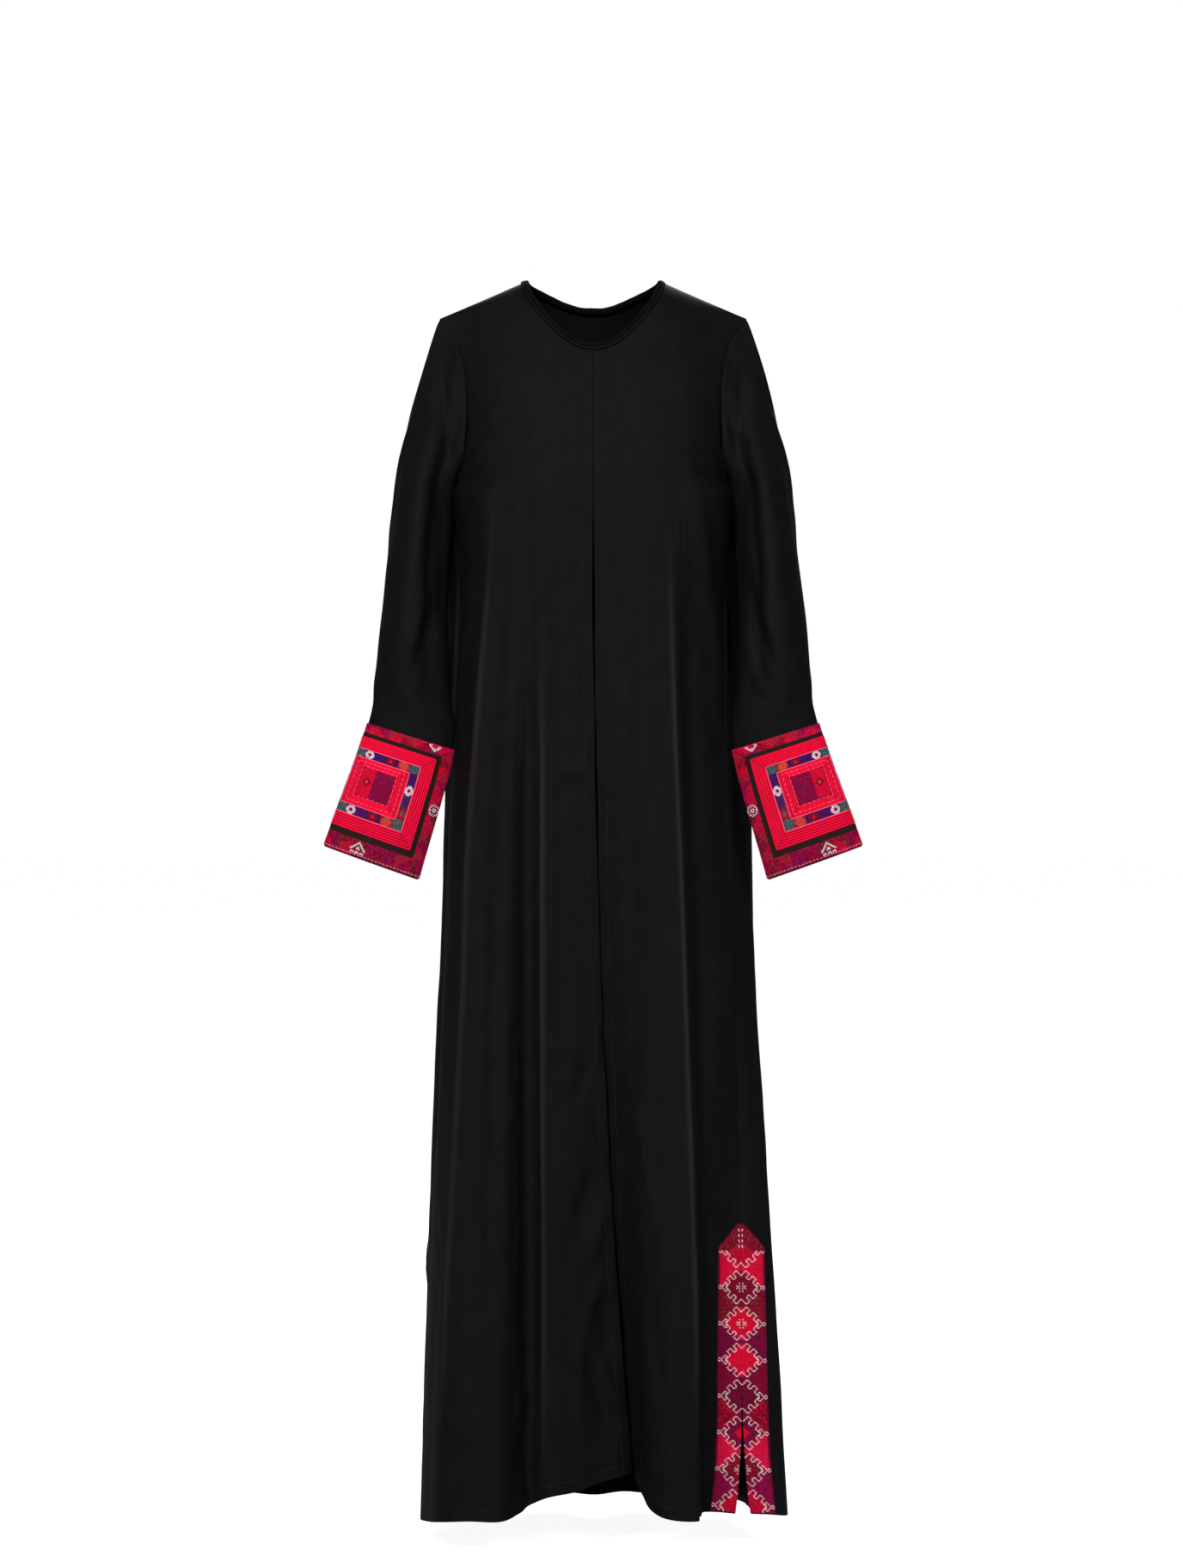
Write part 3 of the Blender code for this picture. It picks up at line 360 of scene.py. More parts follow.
def skirt(place, share):
    """Points of the skirt: place along the hem, share from 0 at the underarm to 1 at the hem."""
    place, share = np.broadcast_arrays(np.asarray(place, float), np.asarray(share, float))
    turn = turn_of_place(place)
    hem = smooth_through(FOLD_PLACES, HEM_POINTS, place)
    fall = smooth_through(FOLD_PLACES, named_column(FOLDS, 5), place)[..., 0]
    bust_across, bust_depth = bust_outline(turn)
    on_left = turn < 180
    side = np.where(on_left, 1.0, -1.0)
    seam = np.where(on_left, LEFT_SEAM_TURN, RIGHT_SEAM_TURN)
    bulge = SIDE_BULGE * np.sin(math.pi * share) * np.abs(np.sin(np.radians(turn)))
    drop = (UNDERARM_HEIGHT - hem[..., 2]) * share
    armpit = ARMPIT_REACH * np.exp(-(((turn - seam) / ARMPIT_SPREAD) ** 2) - drop / ARMPIT_DROP)
    from_front = np.where(on_left, turn, 360 - turn)
    fullness = FULLNESS_REACH * ease(share / FULLNESS_FULL) * (1.0 - ease(share / FULLNESS_END))
    fullness = fullness * np.exp(-(((from_front - FULLNESS_TURN) / FULLNESS_SPREAD) ** 2))
    across = bust_across + (hem[..., 0] - bust_across) * share**fall + side * (bulge + armpit + fullness)
    depth = bust_depth + (hem[..., 1] - bust_depth) * share
    return np.stack([across, depth, UNDERARM_HEIGHT - drop], axis=-1)


def shoulder_line(off_centre, side):
    """The top of the shoulders, which arches low over the open neck."""
    across = SHOULDER_TIP[0] * off_centre / 90.0
    slope = (NECK_CORNER[2] - SHOULDER_TIP[2]) / (SHOULDER_TIP[0] - NECK_CORNER[0])
    outside = NECK_CORNER[2] - slope * (across - NECK_CORNER[0])
    inside = NECK_CORNER[2] + slope * (NECK_CORNER[0] ** 2 - across**2) / (2 * NECK_CORNER[0])
    height = np.where(across < NECK_CORNER[0], inside, outside)
    return np.stack([side * across, np.full_like(across, NECK_CORNER[1]), height], axis=-1)


def past_neck_corner(off_centre):
    """The share of the way from the neck corner, at 0, to the tip of the shoulder, at 1."""
    return np.clip((off_centre - NECK_TURN) / (90 - NECK_TURN), 0.0, 1.0)


def yoke_handle(which, side, where, off_centre):
    """How far one handle of a line's curve lies from its end."""
    spots = ("centre", "neck corner", "side")
    centre, corner, edge = (np.array(YOKE_HANDLES[f"{spot} {where}"][which]) for spot in spots)
    inner = ease(off_centre / NECK_TURN)[..., None]
    outer = (past_neck_corner(off_centre) ** SHOULDER_ROLL)[..., None]
    over_neck, over_shoulder = centre + (corner - centre) * inner, corner + (edge - corner) * outer
    handle = np.where(off_centre[..., None] <= NECK_TURN, over_neck, over_shoulder)
    handle[..., 0] *= side
    return handle


def yoke(place, share, back_side):
    """Points of the yoke: share from 0 at the neckline or the shoulder seam to 1 at the underarm."""
    place, share = np.broadcast_arrays(np.asarray(place, float), np.asarray(share, float))
    turn = turn_of_place(place)
    side = np.where(turn < 180, 1.0, -1.0)
    from_front = np.where(turn <= 180, turn, 360 - turn)
    off_centre = 180 - from_front if back_side else from_front
    cuts = named_column(ARMHOLE_CUT, 2 if back_side else 1)
    cut = smooth_through(named_column(ARMHOLE_CUT, 0), cuts, share)[..., 0]
    off_centre = off_centre - cut * past_neck_corner(off_centre) ** 2
    from_front = 180 - off_centre if back_side else off_centre
    bottom_place = place_of_turn(np.where(side > 0, from_front, 360 - from_front))
    bottom, below = skirt(bottom_place, 0.0), skirt(bottom_place, JUST_BELOW)
    where = "back" if back_side else "front"
    top = shoulder_line(off_centre, side)
    first, second = (yoke_handle(which, side, where, off_centre) for which in (0, 1))
    slope = (bottom - below) * (second[..., 2] / (bottom[..., 2] - below[..., 2]))[..., None]
    slope[..., 2] = 0.0
    curve = (top, top + first, bottom + second + slope, bottom)
    inside = np.clip(off_centre / NECK_TURN, 0.0, 1.0)
    neck_reach = BACK_NECK_REACH if back_side else FRONT_NECK_REACH
    wanted = neck_reach * (1.0 - inside**NECK_ROUNDNESS) ** (1.0 / NECK_ROUNDNESS)
    near, far = np.zeros_like(inside), np.full_like(inside, LAST_NECK_SHARE)
    for _ in range(NECK_HALVINGS):
        middle = (near + far) / 2
        short = np.abs(bezier(*curve, middle)[..., 1] - NECK_CORNER[1]) < wanted
        near, far = np.where(short, middle, near), np.where(short, far, middle)
    start = np.where(inside >= 1.0 - 1e-9, 0.0, near)
    return bezier(*curve, start + (1.0 - start) * share)


# %% [markdown]
# ## Grids of the three panels
#
# A cutter makes the body from two fronts and one back. Each becomes a grid of points: rows run down the
# cloth and columns run round the body. Columns crowd together beside every seam and edge, because a seam
# needs a small furrow and a turned edge needs a line of stitches, and neither can be drawn on a coarse
# mesh.

# %% Grids of the panels
YOKE_ROWS, SKIRT_ROWS = 44, 112
COLUMNS_PER_FOLD = 11
BESIDE_AN_EDGE = (0.0015, 0.004, 0.0075, 0.012, 0.017)
CLEAR_OF_EDGE, CLEAR_OF_CORNER = 0.002, 0.0004
NEAR_NECK_TURNS = (38.95, 38.6, 37.9, 36.9)
ABOVE_THE_HEM = (0.0, 0.0012, 0.0035, 0.008, 0.0125, 0.015, 0.0175, 0.022)
SKIRT_LENGTH, EVEN_ROWS_END = 1.239, 0.97

shares_from_hem = [height / SKIRT_LENGTH for height in ABOVE_THE_HEM]
even_shares = np.linspace(0.0, EVEN_ROWS_END, SKIRT_ROWS)
SKIRT_SHARES = np.concatenate([even_shares, 1.0 - np.array(shares_from_hem[::-1])])
YOKE_SHARES = np.linspace(0.0, 1.0, YOKE_ROWS + 1)


def mirrored_places(turn):
    """Places of one turn on the left front, the left back, the right back and the right front."""
    return [place_of_turn(t) for t in (turn, 180 - turn, 180 + turn, 360 - turn)]


def panel_places(first_turn, last_turn):
    """Places along the hem of a panel's columns."""
    start, end = place_of_turn(first_turn), place_of_turn(last_turn)
    places = []
    for near, far in zip(FOLD_PLACES[:-1], FOLD_PLACES[1:]):
        places += list(near + (far - near) * np.arange(COLUMNS_PER_FOLD) / COLUMNS_PER_FOLD)
    for turn in NEAR_NECK_TURNS:
        places += mirrored_places(turn)
    corners = mirrored_places(NECK_TURN)
    beside = [start + b for b in BESIDE_AN_EDGE] + [end - b for b in BESIDE_AN_EDGE]
    last = BESIDE_AN_EDGE[-1] + CLEAR_OF_EDGE
    inside = [p for p in places if start + last < p < end - last]
    inside = [p for p in inside if min(abs(p - c) for c in corners) > CLEAR_OF_CORNER]
    inside += [c for c in corners if start < c < end] + beside
    return np.array([start] + sorted(inside) + [end])


def panel_grid(places, back_side):
    """Rows from the neck to the hem, columns round the body."""
    upper = yoke(places[None, :], YOKE_SHARES[:-1, None], back_side)
    lower = skirt(places[None, :], SKIRT_SHARES[:, None])
    return np.concatenate([upper, lower])


PANEL_PLACES = {
    "front_left": panel_places(0.0, LEFT_SEAM_TURN),
    "back": panel_places(LEFT_SEAM_TURN, RIGHT_SEAM_TURN),
    "front_right": panel_places(RIGHT_SEAM_TURN, 360.0),
}
panels = {name: panel_grid(places, name == "back") for name, places in PANEL_PLACES.items()}
for name, grid in panels.items():
    print(name, "grid", grid.shape[:2])

# %% [markdown]
# ## Sleeves
#
# A sleeve is a tube set into the armhole. Its top row is the armhole itself, so there is never a hole at
# the seam. Further down, each ring of the table is an oval that slowly becomes the flat, pressed cuff
# with a fold at each side. The columns turn a little on the way down, so that at the cuff they lie evenly
# along the embroidered panel.

# %% Sleeve rings and folds
SLEEVE_RINGS = (
    # name, across, depth, height, half width, half depth, tilt, press
    ("biceps", 0.2070, -0.006, 1.212, 0.0335, 0.069, 11.0, 1.0),
    ("elbow", 0.2160, -0.029, 1.080, 0.0405, 0.064, 7.0, 1.0),
    ("forearm", 0.2180, -0.052, 0.995, 0.0460, 0.046, 10.0, 1.15),
    ("cuff seam", 0.2200, -0.071, 0.930, 0.0540, 0.024, 17.4, 1.5),
    ("cuff hem", 0.2675, -0.078, 0.778, 0.0605, 0.015, 19.8, 1.6),
)
ROWS_TO_A_RING, CUFF_SEAM_RING = 3.0, 3.0
LEAVE_REACH, ARRIVE_REACH = 0.34, 0.30
SLEEVE_CAP_SLOPE = np.array((0.33, 0.0, -0.94))
UNDERARM_SLOPE = np.array((0.66, 0.0, -0.75))
SLEEVE_CAP_STEPS = (0.0, 0.06, 0.14, 0.26, 0.40, 0.56, 0.76, 1.0)
SLEEVE_FOLDS = (
    # name, turn, spread, depth, starts, ends
    ("front hollow", 128.0, 22.0, -0.0120, 0.06, 0.60),
    ("front ridge", 88.0, 24.0, 0.0050, 0.05, 0.62),
    ("back hollow", 246.0, 24.0, -0.0100, 0.14, 0.62),
    ("back ridge", 286.0, 26.0, 0.0050, 0.10, 0.66),
)
CUFF_SIDE_BORDER, CUFF_TOP_BORDER, CUFF_BOTTOM_BORDER = 0.0165, 0.0150, 0.0205
CUFF_BRAID = 0.0065
CUFF_MIDDLE_WIDTH, CUFF_MIDDLE_HEIGHT = 0.132, 0.113
CUFF_HEM, CUFF_TURN_UNDER = 0.0015, 0.0015
CUFF_WIDTH = 2 * CUFF_SIDE_BORDER + 2 * CUFF_BRAID + CUFF_MIDDLE_WIDTH
CUFF_LENGTH = CUFF_TOP_BORDER + 2 * CUFF_BRAID + CUFF_MIDDLE_HEIGHT + CUFF_BOTTOM_BORDER
TURNS_ROUND, COLUMN_STEP = 18.0, 0.1875
CAP_END, FOREARM_END, SLEEVE_END = 7.0, 16.0, 25.0


def ring_outline(half_width, half_depth, press, turns):
    ahead = np.sign(np.sin(turns)) * np.abs(np.sin(turns)) ** press
    return np.stack([half_width * np.cos(turns), half_depth * ahead], axis=-1)


def ring_points(size, turns):
    """A ring's points, for turns from 0 outermost over a quarter turn at the front."""
    across, depth, height, half_width, half_depth, tilt, press = size
    lean = math.radians(tilt)
    axes = np.array(((math.cos(lean), 0.0, math.sin(lean)), (0.0, -1.0, 0.0)))
    return np.array((across, depth, height)) + ring_outline(half_width, half_depth, press, turns) @ axes


OUTLINE_POINTS = 2881
outline_turns = np.linspace(0.0, 2 * math.pi, OUTLINE_POINTS)
hem_ring = ring_outline(*(SLEEVE_RINGS[-1][k] for k in (4, 5, 7)), outline_turns)
outline_lengths = lengths_along(hem_ring)
CUFF_AROUND = float(outline_lengths[-1])
CUFF_FOLD = CUFF_AROUND / 2 + CUFF_TURN_UNDER


def cuff_turn(arc):
    """The turn of a place on the cuff, at a distance round it from the panel's inner edge."""
    wanted = CUFF_FOLD - np.asarray(arc)
    full_turns = 2 * math.pi * np.floor(wanted / CUFF_AROUND)
    return np.interp(wanted % CUFF_AROUND, outline_lengths, outline_turns) + full_turns


FOLD_COLUMN = 7.0
COLUMN_KNOTS = np.array((0.0, 2.0, FOLD_COLUMN, 11.0, TURNS_ROUND))
ARC_KNOTS = np.array((0.0, CUFF_SIDE_BORDER + CUFF_BRAID, CUFF_FOLD, CUFF_WIDTH, CUFF_AROUND))
print("cuff", round(CUFF_AROUND, 4), "m round, its outer fold at", round(CUFF_FOLD, 4))

# %% [markdown]
# ## Sleeve grid
#
# Two numbers place a point of the sleeve: the row, from 0 at the armhole to 25 at the hem, and the column,
# from 0 at the underarm over the front to 18 back at the underarm. Both may be fractions, so the same
# function gives a coarse or a fine sleeve.

# %% The sleeve's grid
MIRROR = np.array((-1.0, 1.0, 1.0))
HALF_ROUND = TURNS_ROUND / 2
SLEEVE_COLUMNS = np.arange(0.0, TURNS_ROUND, COLUMN_STEP)
SLEEVE_ROWS = np.concatenate(
    [
        np.array((0.0, 0.12, 0.3, 0.6)),
        np.linspace(1.0, CAP_END, 25)[:-1],
        np.linspace(CAP_END, FOREARM_END, 55)[:-1],
        np.linspace(FOREARM_END, SLEEVE_END, 61),
    ]
)


def cuff_row(distance):
    """The row of a place at a distance below the cuff's seam."""
    return FOREARM_END + (SLEEVE_END - FOREARM_END) * np.asarray(distance) / (CUFF_LENGTH + CUFF_HEM)


def sleeve_grid(armhole):
    """The left sleeve's outer face, from the armhole's points, one to a column."""
    even = math.pi - 2 * math.pi * SLEEVE_COLUMNS / TURNS_ROUND
    at_cuff = cuff_turn(np.interp(SLEEVE_COLUMNS, COLUMN_KNOTS, ARC_KNOTS))
    sizes = np.array([ring[1:] for ring in SLEEVE_RINGS])
    first_ring = ring_points(sizes[0], even)
    under = (0.5 + 0.5 * np.cos(2 * math.pi * SLEEVE_COLUMNS / TURNS_ROUND))[:, None] ** 2
    way_down = unit(sizes[1][:3] - sizes[0][:3])
    rows = []
    for row in SLEEVE_ROWS:
        if row < CAP_END:
            step = float(np.interp(row, np.arange(len(SLEEVE_CAP_STEPS)), SLEEVE_CAP_STEPS))
            length = np.linalg.norm(first_ring - armhole, axis=1)[:, None]
            slope = SLEEVE_CAP_SLOPE + (UNDERARM_SLOPE - SLEEVE_CAP_SLOPE) * under
            leave = armhole + slope * length * LEAVE_REACH
            arrive = first_ring - way_down * length * ARRIVE_REACH
            rows.append(bezier(armhole, leave, arrive, first_ring, step))
            continue
        down_cuff = CUFF_SEAM_RING + (row - FOREARM_END) / (SLEEVE_END - FOREARM_END)
        knot = (row - CAP_END) / ROWS_TO_A_RING if row < FOREARM_END else down_cuff
        size = smooth_through(np.arange(len(sizes), dtype=float), sizes, np.array([knot]))[0]
        rows.append(ring_points(size, even + (at_cuff - even) * ease(knot / CUFF_SEAM_RING)))
    return np.array(rows)


def outward(grid, closed=False):
    """Directions out of a grid's face, at its points."""
    down = np.gradient(grid, axis=0)
    across = np.roll(grid, -1, axis=1) - np.roll(grid, 1, axis=1) if closed else np.gradient(grid, axis=1)
    return unit(np.cross(down, across))


def press_sleeve_folds(grid):
    """Presses the table's long folds in, and lets the ridges stand out."""
    normals = outward(grid, closed=True)
    share = SLEEVE_ROWS[:, None] / SLEEVE_END
    for _, turn, spread, depth, starts, ends in SLEEVE_FOLDS:
        middle = (180.0 - turn) / 360.0 * TURNS_ROUND
        off = (SLEEVE_COLUMNS - middle + TURNS_ROUND / 2) % TURNS_ROUND - TURNS_ROUND / 2
        away = off * 360.0 / TURNS_ROUND / spread
        fade = np.sin(math.pi * np.clip((share - starts) / (ends - starts), 0.0, 1.0))
        grid = grid + normals * (depth * fade * np.exp(-(away**2)))[..., None]
    return grid


def armhole_points(front_turn, mirror):
    """The armhole in the sleeve's order: from the underarm up the front and down the back."""
    up_share = np.clip(1.0 - SLEEVE_COLUMNS / HALF_ROUND, 0.0, 1.0)
    down_share = np.clip(SLEEVE_COLUMNS / HALF_ROUND - 1.0, 0.0, 1.0)
    place = place_of_turn(front_turn)
    in_front = (SLEEVE_COLUMNS <= HALF_ROUND)[:, None]
    points = np.where(in_front, yoke(place, up_share, False), yoke(place, down_share, True))
    return points * np.array((mirror, 1.0, 1.0))


def mirrored(grid):
    """A grid reflected to the wearer's right, with its columns reversed so that it still faces out."""
    return (grid * MIRROR)[:, ::-1]


sleeves = {
    "sleeve_left": press_sleeve_folds(sleeve_grid(armhole_points(LEFT_SEAM_TURN, 1.0))),
    "sleeve_right": mirrored(press_sleeve_folds(sleeve_grid(armhole_points(RIGHT_SEAM_TURN, -1.0)))),
}
print("sleeve grid", sleeves["sleeve_left"].shape[:2])

# %% [markdown]
# ## Creases
#
# The large folds are in the grids already. What makes cloth look like cloth is the smaller order: soft
# troughs that run out of a strain, a ridge where a panel was folded, pulls at the armpit, waves along a
# sewn edge. Each is one row below, drawn as it is seen from one side. A depth below zero is a trough and
# one above zero a ridge. A sharpness of 2 is round and one of 1 is a crisp line. Crisp ridges were set
# with an iron; along them the shader paints a highlight, a lighter colour that it reads from an attribute.

# %% The table of creases
CREASES = {
    # cloth, seen from: width, depth, sharpness, points as (across, height)
    ("body", "front"): (
        (0.01, 0.004, 1.1, ((-0.117, 1.249), (-0.152, 0.781), (-0.157, 0.613), (-0.169, 0.362),
            (-0.182, 0.139), (-0.194, 0.02))),
        (0.012, -0.003, 2.0, ((-0.103, 1.23), (-0.132, 0.80), (-0.14, 0.38), (-0.15, 0.06))),
        (0.011, 0.003, 1.6, ((-0.144, 1.142), (-0.16, 1.036), (-0.171, 0.915), (-0.176, 0.70))),
        (0.013, -0.003, 2.0, ((-0.078, 1.095), (-0.082, 0.781), (-0.075, 0.362), (-0.071, 0.01))),
        (0.007, 0.0018, 1.1, ((-0.062, 1.074), (-0.062, 0.467), (-0.06, 0.00))),
        (0.008, 0.0035, 1.1, ((0.093, 1.229), (0.095, 1.078), (0.0995, 0.918), (0.106, 0.781),
            (0.114, 0.558), (0.119, 0.39), (0.1246, 0.223), (0.1288, 0.01))),
        (0.011, -0.003, 1.8, ((0.112, 1.20), (0.118, 0.918), (0.127, 0.70), (0.137, 0.40),
            (0.146, 0.10))),
        (0.009, 0.003, 1.5, ((0.114, 1.29), (0.134, 1.15), (0.153, 1.02), (0.158, 0.90))),
        (0.009, 0.003, 1.5, ((0.134, 1.281), (0.153, 1.206), (0.165, 1.077), (0.167, 0.98))),
        (0.015, 0.003, 1.8, ((0.161, 0.74), (0.15, 0.56), (0.133, 0.33))),
        (0.01, -0.002, 1.8, ((0.04, 1.18), (0.046, 0.80), (0.05, 0.42))),
        (0.012, 0.002, 1.8, ((0.062, 1.24), (0.068, 0.90), (0.074, 0.52))),
        (0.011, -0.002, 1.8, ((-0.036, 1.15), (-0.04, 0.82), (-0.034, 0.48))),
        (0.013, 0.002, 1.8, ((-0.058, 1.27), (-0.066, 1.10), (-0.07, 0.90))),
        (0.006, -0.0022, 1.5, ((-0.046, 0.866), (-0.024, 0.872), (-0.004, 0.866))),
        (0.006, 0.0018, 1.5, ((-0.044, 0.88), (-0.02, 0.888), (-0.004, 0.88))),
        (0.009, -0.0034, 1.6, ((-0.002, 0.546), (-0.012, 0.515), (-0.025, 0.484))),
        (0.006, 0.0026, 1.4, ((0.005, 0.59), (0.006, 0.56), (0.004, 0.52))),
        (0.0045, 0.0018, 1.2, ((-0.062, 0.505), (-0.028, 0.508), (0.004, 0.517))),
        (0.0085, -0.0042, 1.6, ((0.006, 0.402), (-0.01, 0.366), (-0.025, 0.334))),
        (0.008, 0.0032, 1.5, ((0.014, 0.366), (0.006, 0.32), (-0.009, 0.275))),
        (0.0075, -0.003, 1.6, ((-0.002, 0.351), (-0.018, 0.326), (-0.036, 0.302))),
        (0.0055, 0.003, 1.2, ((0.018, 0.31), (0.004, 0.255), (-0.016, 0.193), (-0.015, 0.11),
            (-0.0136, 0.05))),
        (0.013, -0.0042, 1.8, ((0.01, 0.25), (0.018, 0.215), (0.026, 0.18))),
        (0.0085, 0.0038, 1.6, ((0.004, 0.172), (0.02, 0.138), (0.036, 0.10))),
        (0.009, -0.0036, 1.6, ((-0.004, 0.175), (0.008, 0.13), (0.024, 0.082))),
        (0.008, 0.0028, 1.5, ((-0.006, 0.053), (0.016, 0.052), (0.038, 0.05))),
        (0.005, 0.0022, 1.2, ((-0.126, 0.416), (-0.106, 0.452), (-0.088, 0.50))),
        (0.0055, 0.0024, 1.3, ((-0.098, 0.104), (-0.086, 0.124), (-0.074, 0.142))),
        (0.007, -0.0026, 1.5, ((-0.084, 0.096), (-0.082, 0.056), (-0.08, 0.014))),
        (0.005, 0.002, 1.3, ((0.022, 0.488), (0.04, 0.47), (0.057, 0.454), (0.064, 0.41),
            (0.07, 0.368))),
        (0.004, -0.0014, 1.4, ((0.066, 0.385), (0.086, 0.38), (0.108, 0.38))),
        (0.004, -0.0014, 1.4, ((0.064, 0.18), (0.086, 0.175), (0.111, 0.172))),
        (0.008, 0.0016, 1.5, ((-0.12, 0.33), (-0.10, 0.24), (-0.092, 0.15))),
        (0.008, -0.0016, 1.5, ((-0.158, 0.44), (-0.14, 0.33), (-0.128, 0.24))),
        (0.008, 0.0018, 1.5, ((0.06, 0.42), (0.08, 0.33), (0.092, 0.23))),
        (0.01, -0.002, 1.6, ((0.052, 0.30), (0.074, 0.21), (0.086, 0.12))),
        (0.008, 0.003, 1.5, ((-0.17, 1.215), (-0.15, 1.26), (-0.12, 1.29))),
        (0.008, -0.0026, 1.5, ((-0.168, 1.19), (-0.146, 1.225), (-0.118, 1.245))),
        (0.008, -0.0026, 1.5, ((0.168, 1.195), (0.15, 1.235), (0.128, 1.262))),
    ),
    ("body", "back"): (
        (0.013, 0.004, 1.6, ((0.10, 1.25), (0.112, 0.90), (0.124, 0.50), (0.136, 0.10))),
        (0.012, -0.004, 1.8, ((0.062, 1.18), (0.074, 0.76), (0.086, 0.32))),
        (0.01, 0.003, 1.4, ((0.018, 1.22), (0.022, 0.82), (0.026, 0.36))),
        (0.012, -0.0035, 1.8, ((-0.03, 1.20), (-0.034, 0.74), (-0.04, 0.30))),
        (0.011, 0.0036, 1.4, ((-0.086, 1.24), (-0.10, 0.86), (-0.116, 0.40))),
        (0.01, -0.003, 1.8, ((-0.126, 1.16), (-0.14, 0.80), (-0.152, 0.34))),
        (0.01, 0.003, 1.5, ((-0.15, 1.24), (-0.10, 1.29), (-0.05, 1.31))),
        (0.01, -0.003, 1.5, ((-0.154, 1.20), (-0.104, 1.245), (-0.056, 1.262))),
        (0.01, 0.003, 1.5, ((0.15, 1.236), (0.104, 1.284), (0.052, 1.306))),
        (0.009, -0.0026, 1.5, ((0.06, 0.52), (0.024, 0.44), (-0.02, 0.40))),
        (0.009, 0.0024, 1.5, ((0.05, 0.42), (0.01, 0.34), (-0.034, 0.30))),
        (0.009, -0.0024, 1.5, ((-0.12, 0.36), (-0.086, 0.28), (-0.05, 0.24))),
    ),
    ("body", "left"): (
        (0.011, 0.003, 1.6, ((0.02, 1.15), (0.01, 0.80), (-0.01, 0.42))),
        (0.011, -0.003, 1.8, ((-0.03, 1.10), (-0.04, 0.76), (-0.06, 0.42))),
        (0.009, 0.0022, 1.5, ((0.06, 0.46), (0.02, 0.36), (-0.03, 0.30))),
    ),
    ("body", "right"): (
        (0.011, 0.003, 1.6, ((0.03, 1.14), (0.03, 0.78), (0.04, 0.38))),
        (0.011, -0.003, 1.8, ((-0.02, 1.12), (-0.04, 0.74), (-0.06, 0.36))),
        (0.009, 0.0022, 1.5, ((0.05, 0.42), (0.00, 0.32), (-0.06, 0.26))),
    ),
    ("sleeve_left", "front"): (
        (0.0065, -0.0035, 1.4, ((0.184, 1.392), (0.178, 1.31), (0.172, 1.26))),
        (0.007, 0.0028, 1.5, ((0.196, 1.38), (0.192, 1.29), (0.18, 1.22))),
        (0.008, -0.003, 1.5, ((0.194, 1.36), (0.186, 1.24), (0.18, 1.15), (0.175, 1.057))),
        (0.008, 0.0026, 1.6, ((0.19, 1.18), (0.206, 1.10), (0.222, 1.04))),
        (0.008, -0.0026, 1.6, ((0.186, 1.13), (0.204, 1.06), (0.222, 1.01))),
        (0.0075, 0.0022, 1.6, ((0.184, 1.07), (0.196, 1.01), (0.214, 0.97))),
    ),
    ("sleeve_left", "back"): (
        (0.008, 0.0026, 1.6, ((0.186, 1.20), (0.21, 1.13), (0.236, 1.08))),
        (0.008, -0.0026, 1.6, ((0.186, 1.15), (0.208, 1.09), (0.236, 1.04))),
    ),
    ("sleeve_left", "left"): (
        (0.01, 0.0026, 1.6, ((-0.02, 1.38), (-0.01, 1.26), (-0.02, 1.15))),
        (0.01, -0.0026, 1.6, ((0.01, 1.34), (0.014, 1.23), (0.00, 1.12))),
    ),
    ("sleeve_right", "front"): (
        (0.0065, -0.0035, 1.4, ((-0.184, 1.39), (-0.18, 1.31), (-0.172, 1.255))),
        (0.007, 0.0028, 1.5, ((-0.197, 1.37), (-0.194, 1.28), (-0.184, 1.21))),
        (0.008, -0.0028, 1.5, ((-0.196, 1.33), (-0.188, 1.23), (-0.184, 1.13), (-0.18, 1.04))),
        (0.008, 0.0024, 1.6, ((-0.192, 1.15), (-0.21, 1.08), (-0.226, 1.02))),
        (0.008, -0.0024, 1.6, ((-0.19, 1.10), (-0.208, 1.04), (-0.226, 0.99))),
    ),
    ("sleeve_right", "back"): (
        (0.008, 0.0026, 1.6, ((-0.188, 1.19), (-0.212, 1.12), (-0.238, 1.07))),
        (0.008, -0.0026, 1.6, ((-0.188, 1.14), (-0.21, 1.08), (-0.238, 1.03))),
    ),
    ("sleeve_right", "right"): (
        (0.01, 0.0026, 1.6, ((-0.016, 1.37), (-0.008, 1.25), (-0.018, 1.14))),
        (0.01, -0.0026, 1.6, ((0.012, 1.33), (0.014, 1.22), (0.002, 1.11))),
    ),
}
print(sum(len(rows) for rows in CREASES.values()), "creases")

# %% [markdown]
# ## Pressing the creases in
#
# A crease moves the cloth along its own outward direction, by a bell-shaped amount that fades at both
# ends of the line. Only cloth that faces the side the crease was drawn from moves, so a line on the front
# never marks the back. Soft random unevenness comes last, from a fixed seed.

# %% Creases and unevenness


def seen_from(points, side):
    """Where points appear, in metres, to someone who looks from a side."""
    if side == "front":
        closer = CAMERA_DISTANCE / (CAMERA_DISTANCE + points[..., 1])
        across = CAMERA_ACROSS + (points[..., 0] - CAMERA_ACROSS) * closer
        return np.stack([across, CAMERA_HEIGHT + (points[..., 2] - CAMERA_HEIGHT) * closer], axis=-1)
    return points[..., (0, 2)] if side == "back" else points[..., (1, 2)]


